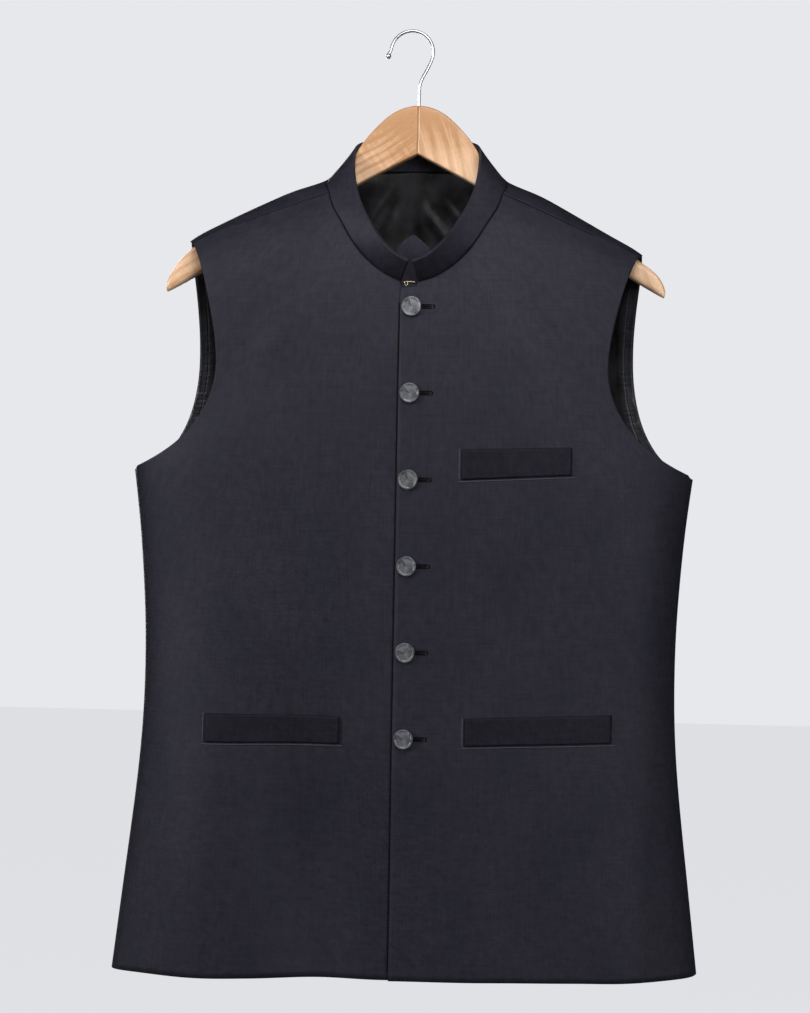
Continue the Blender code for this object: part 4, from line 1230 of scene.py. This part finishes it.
# %% Wood grain group
def build_grain():
    tree, source, result = new_group(
        "wood grain",
        {"Vector": None, "Ring Spacing": 0.006, "Curl": 0.3},
        ("Rings", "Fibre", "Curl Figure", "Pores"),
    )
    vector = source["Vector"]
    split = split_vector(tree, vector)
    sway = stretched_noise(tree, vector, 2.0, (9.0, 30.0, 30.0))
    across = plus(tree, split["Z"], times(tree, split["Y"], 0.7))
    swayed = plus(tree, across, times(tree, sway, 0.02))
    turns = math_node(tree, "DIVIDE", swayed, source["Ring Spacing"])
    wave = math_node(tree, "SINE", times(tree, turns, math.tau))
    rings = math_node(tree, "POWER", plus(tree, times(tree, wave, 0.5), 0.5), 2.2)
    fibre = stretched_noise(tree, vector, 3.0, (38.0, 1500.0, 1500.0))
    ripple = stretched_noise(tree, vector, 1.0, (210.0, 26.0, 26.0))
    patch = stretched_noise(tree, vector, 1.0, (16.0, 34.0, 34.0))
    curl = times(tree, times(tree, ripple, patch), source["Curl"])
    specks = stretched_noise(tree, vector, 1.0, (160.0, 2600.0, 2600.0))
    pores = math_node(tree, "GREATER_THAN", specks, 0.66)
    values = {"Rings": rings, "Fibre": fibre, "Curl Figure": curl, "Pores": pores}
    for label, value in values.items():
        tree.links.new(value, result[label])
    return tree


grain = build_grain()
print("grain group nodes:", len(grain.nodes))

# %% Wood material
PALE_GRAIN = (0.98, 0.66, 0.43)
DARK_GRAIN = (0.53, 0.265, 0.11)
PORE_SHADE = (0.80, 0.70, 0.62)
# The colour is mixed darker towards the top of the arms and paler below.
TOP_DARKENING_RANGE = {"From Min": -0.130, "From Max": -0.068, "To Min": -0.50, "To Max": 0.60}


def make_wood(name, figure_turn, spacing, curl):
    """Pale varnished wood whose grain is turned by this angle about Y."""
    material, tree, shader = new_material(
        name, Specular_IOR_Level=0.4, Coat_Weight=0.35, Coat_Roughness=0.22
    )
    place = own_place(tree)
    turn = tree.nodes.new("ShaderNodeMapping")
    turn.inputs["Rotation"].default_value = (0.0, math.radians(figure_turn), 0.0)
    tree.links.new(place, turn.inputs["Vector"])
    wood = use_group(tree, grain, turn.outputs["Vector"], Ring_Spacing=spacing, Curl=curl)
    top_darkening = tree.nodes.new("ShaderNodeMapRange")
    for label, value in TOP_DARKENING_RANGE.items():
        top_darkening.inputs[label].default_value = value
    tree.links.new(split_vector(tree, place)["Z"], top_darkening.inputs["Value"])
    shade = plus(tree, times(tree, wood["Rings"], 0.36), times(tree, wood["Fibre"], 0.95))
    shade = plus(tree, plus(tree, shade, wood["Curl Figure"]), top_darkening.outputs["Result"])
    base = mix_colours(tree, shade, PALE_GRAIN, DARK_GRAIN)
    pored = mix_colours(tree, wood["Pores"], base, PORE_SHADE, "MULTIPLY")
    tree.links.new(pored, shader.inputs["Base Color"])
    tree.links.new(plus(tree, times(tree, wood["Fibre"], 0.25), 0.32), shader.inputs["Roughness"])
    add_bump(tree, wood["Fibre"], shader, 0.25, 0.2 * MM)
    return material


LEFT_FIGURE_TURN = 34.0
RIGHT_FIGURE_TURN = -74.0
left_wood = make_wood("wood, curly half", LEFT_FIGURE_TURN, 0.0075, 1.5)
right_wood = make_wood("wood, plain half", RIGHT_FIGURE_TURN, 0.011, 0.35)
print("wood:", left_wood.name, "/", right_wood.name)

# %% [markdown]
# ## The hanger
#
# The two arms and the wire hook are hard pieces: their sharp edges stay sharp, so only triangles
# that lie nearly flat to each other are joined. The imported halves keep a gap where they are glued,
# which is closed here to a hairline. The hook is a polished steel wire with faint drawing marks.

# %% Hanger arms and hook
HARD_DETAIL = 2
HARD_DEGREES = 60.0
FLAT_DEGREES = 40.0
GLUE_REACH = 0.4 * MM
HALF_GLUE_LINE = 0.02 * MM


def make_hard_piece(node_name, name, material):
    piece = merged_copy(node_name, name, math.radians(FLAT_DEGREES))
    subdivide_smooth(piece, HARD_DETAIL, HARD_DEGREES)
    piece.data.materials.append(material)
    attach(piece, "root")
    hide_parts(node_name)
    print(name, "faces:", len(piece.data.polygons))
    return piece


def close_glue_line(piece):
    """Brings the glued faces of a half to the middle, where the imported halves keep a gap."""
    points = read_points(piece)
    flat = np.abs(points[:, 0]) < GLUE_REACH
    points[flat, 0] = np.sign(points[flat, 0]) * HALF_GLUE_LINE
    write_points(piece, points)


def make_steel():
    material, tree, shader = new_material("polished steel wire", Metallic=1.0)
    place = own_place(tree)
    haze = stretched_noise(tree, place, 2.0, (160.0, 160.0, 160.0))
    drawn = stretched_noise(tree, place, 1.0, (2200.0, 2200.0, 90.0))
    colour = mix_colours(tree, haze, (0.56, 0.565, 0.58), (0.70, 0.705, 0.72))
    tree.links.new(colour, shader.inputs["Base Color"])
    tree.links.new(plus(tree, times(tree, haze, 0.10), 0.20), shader.inputs["Roughness"])
    add_bump(tree, drawn, shader, 0.08, 0.1 * MM)
    return material


close_glue_line(make_hard_piece("hanger_arm_right", "hanger_arm_right_wood", left_wood))
close_glue_line(make_hard_piece("hanger_arm_left", "hanger_arm_left_wood", right_wood))
make_hard_piece("hanger_hook", "hanger_hook_wire", make_steel())
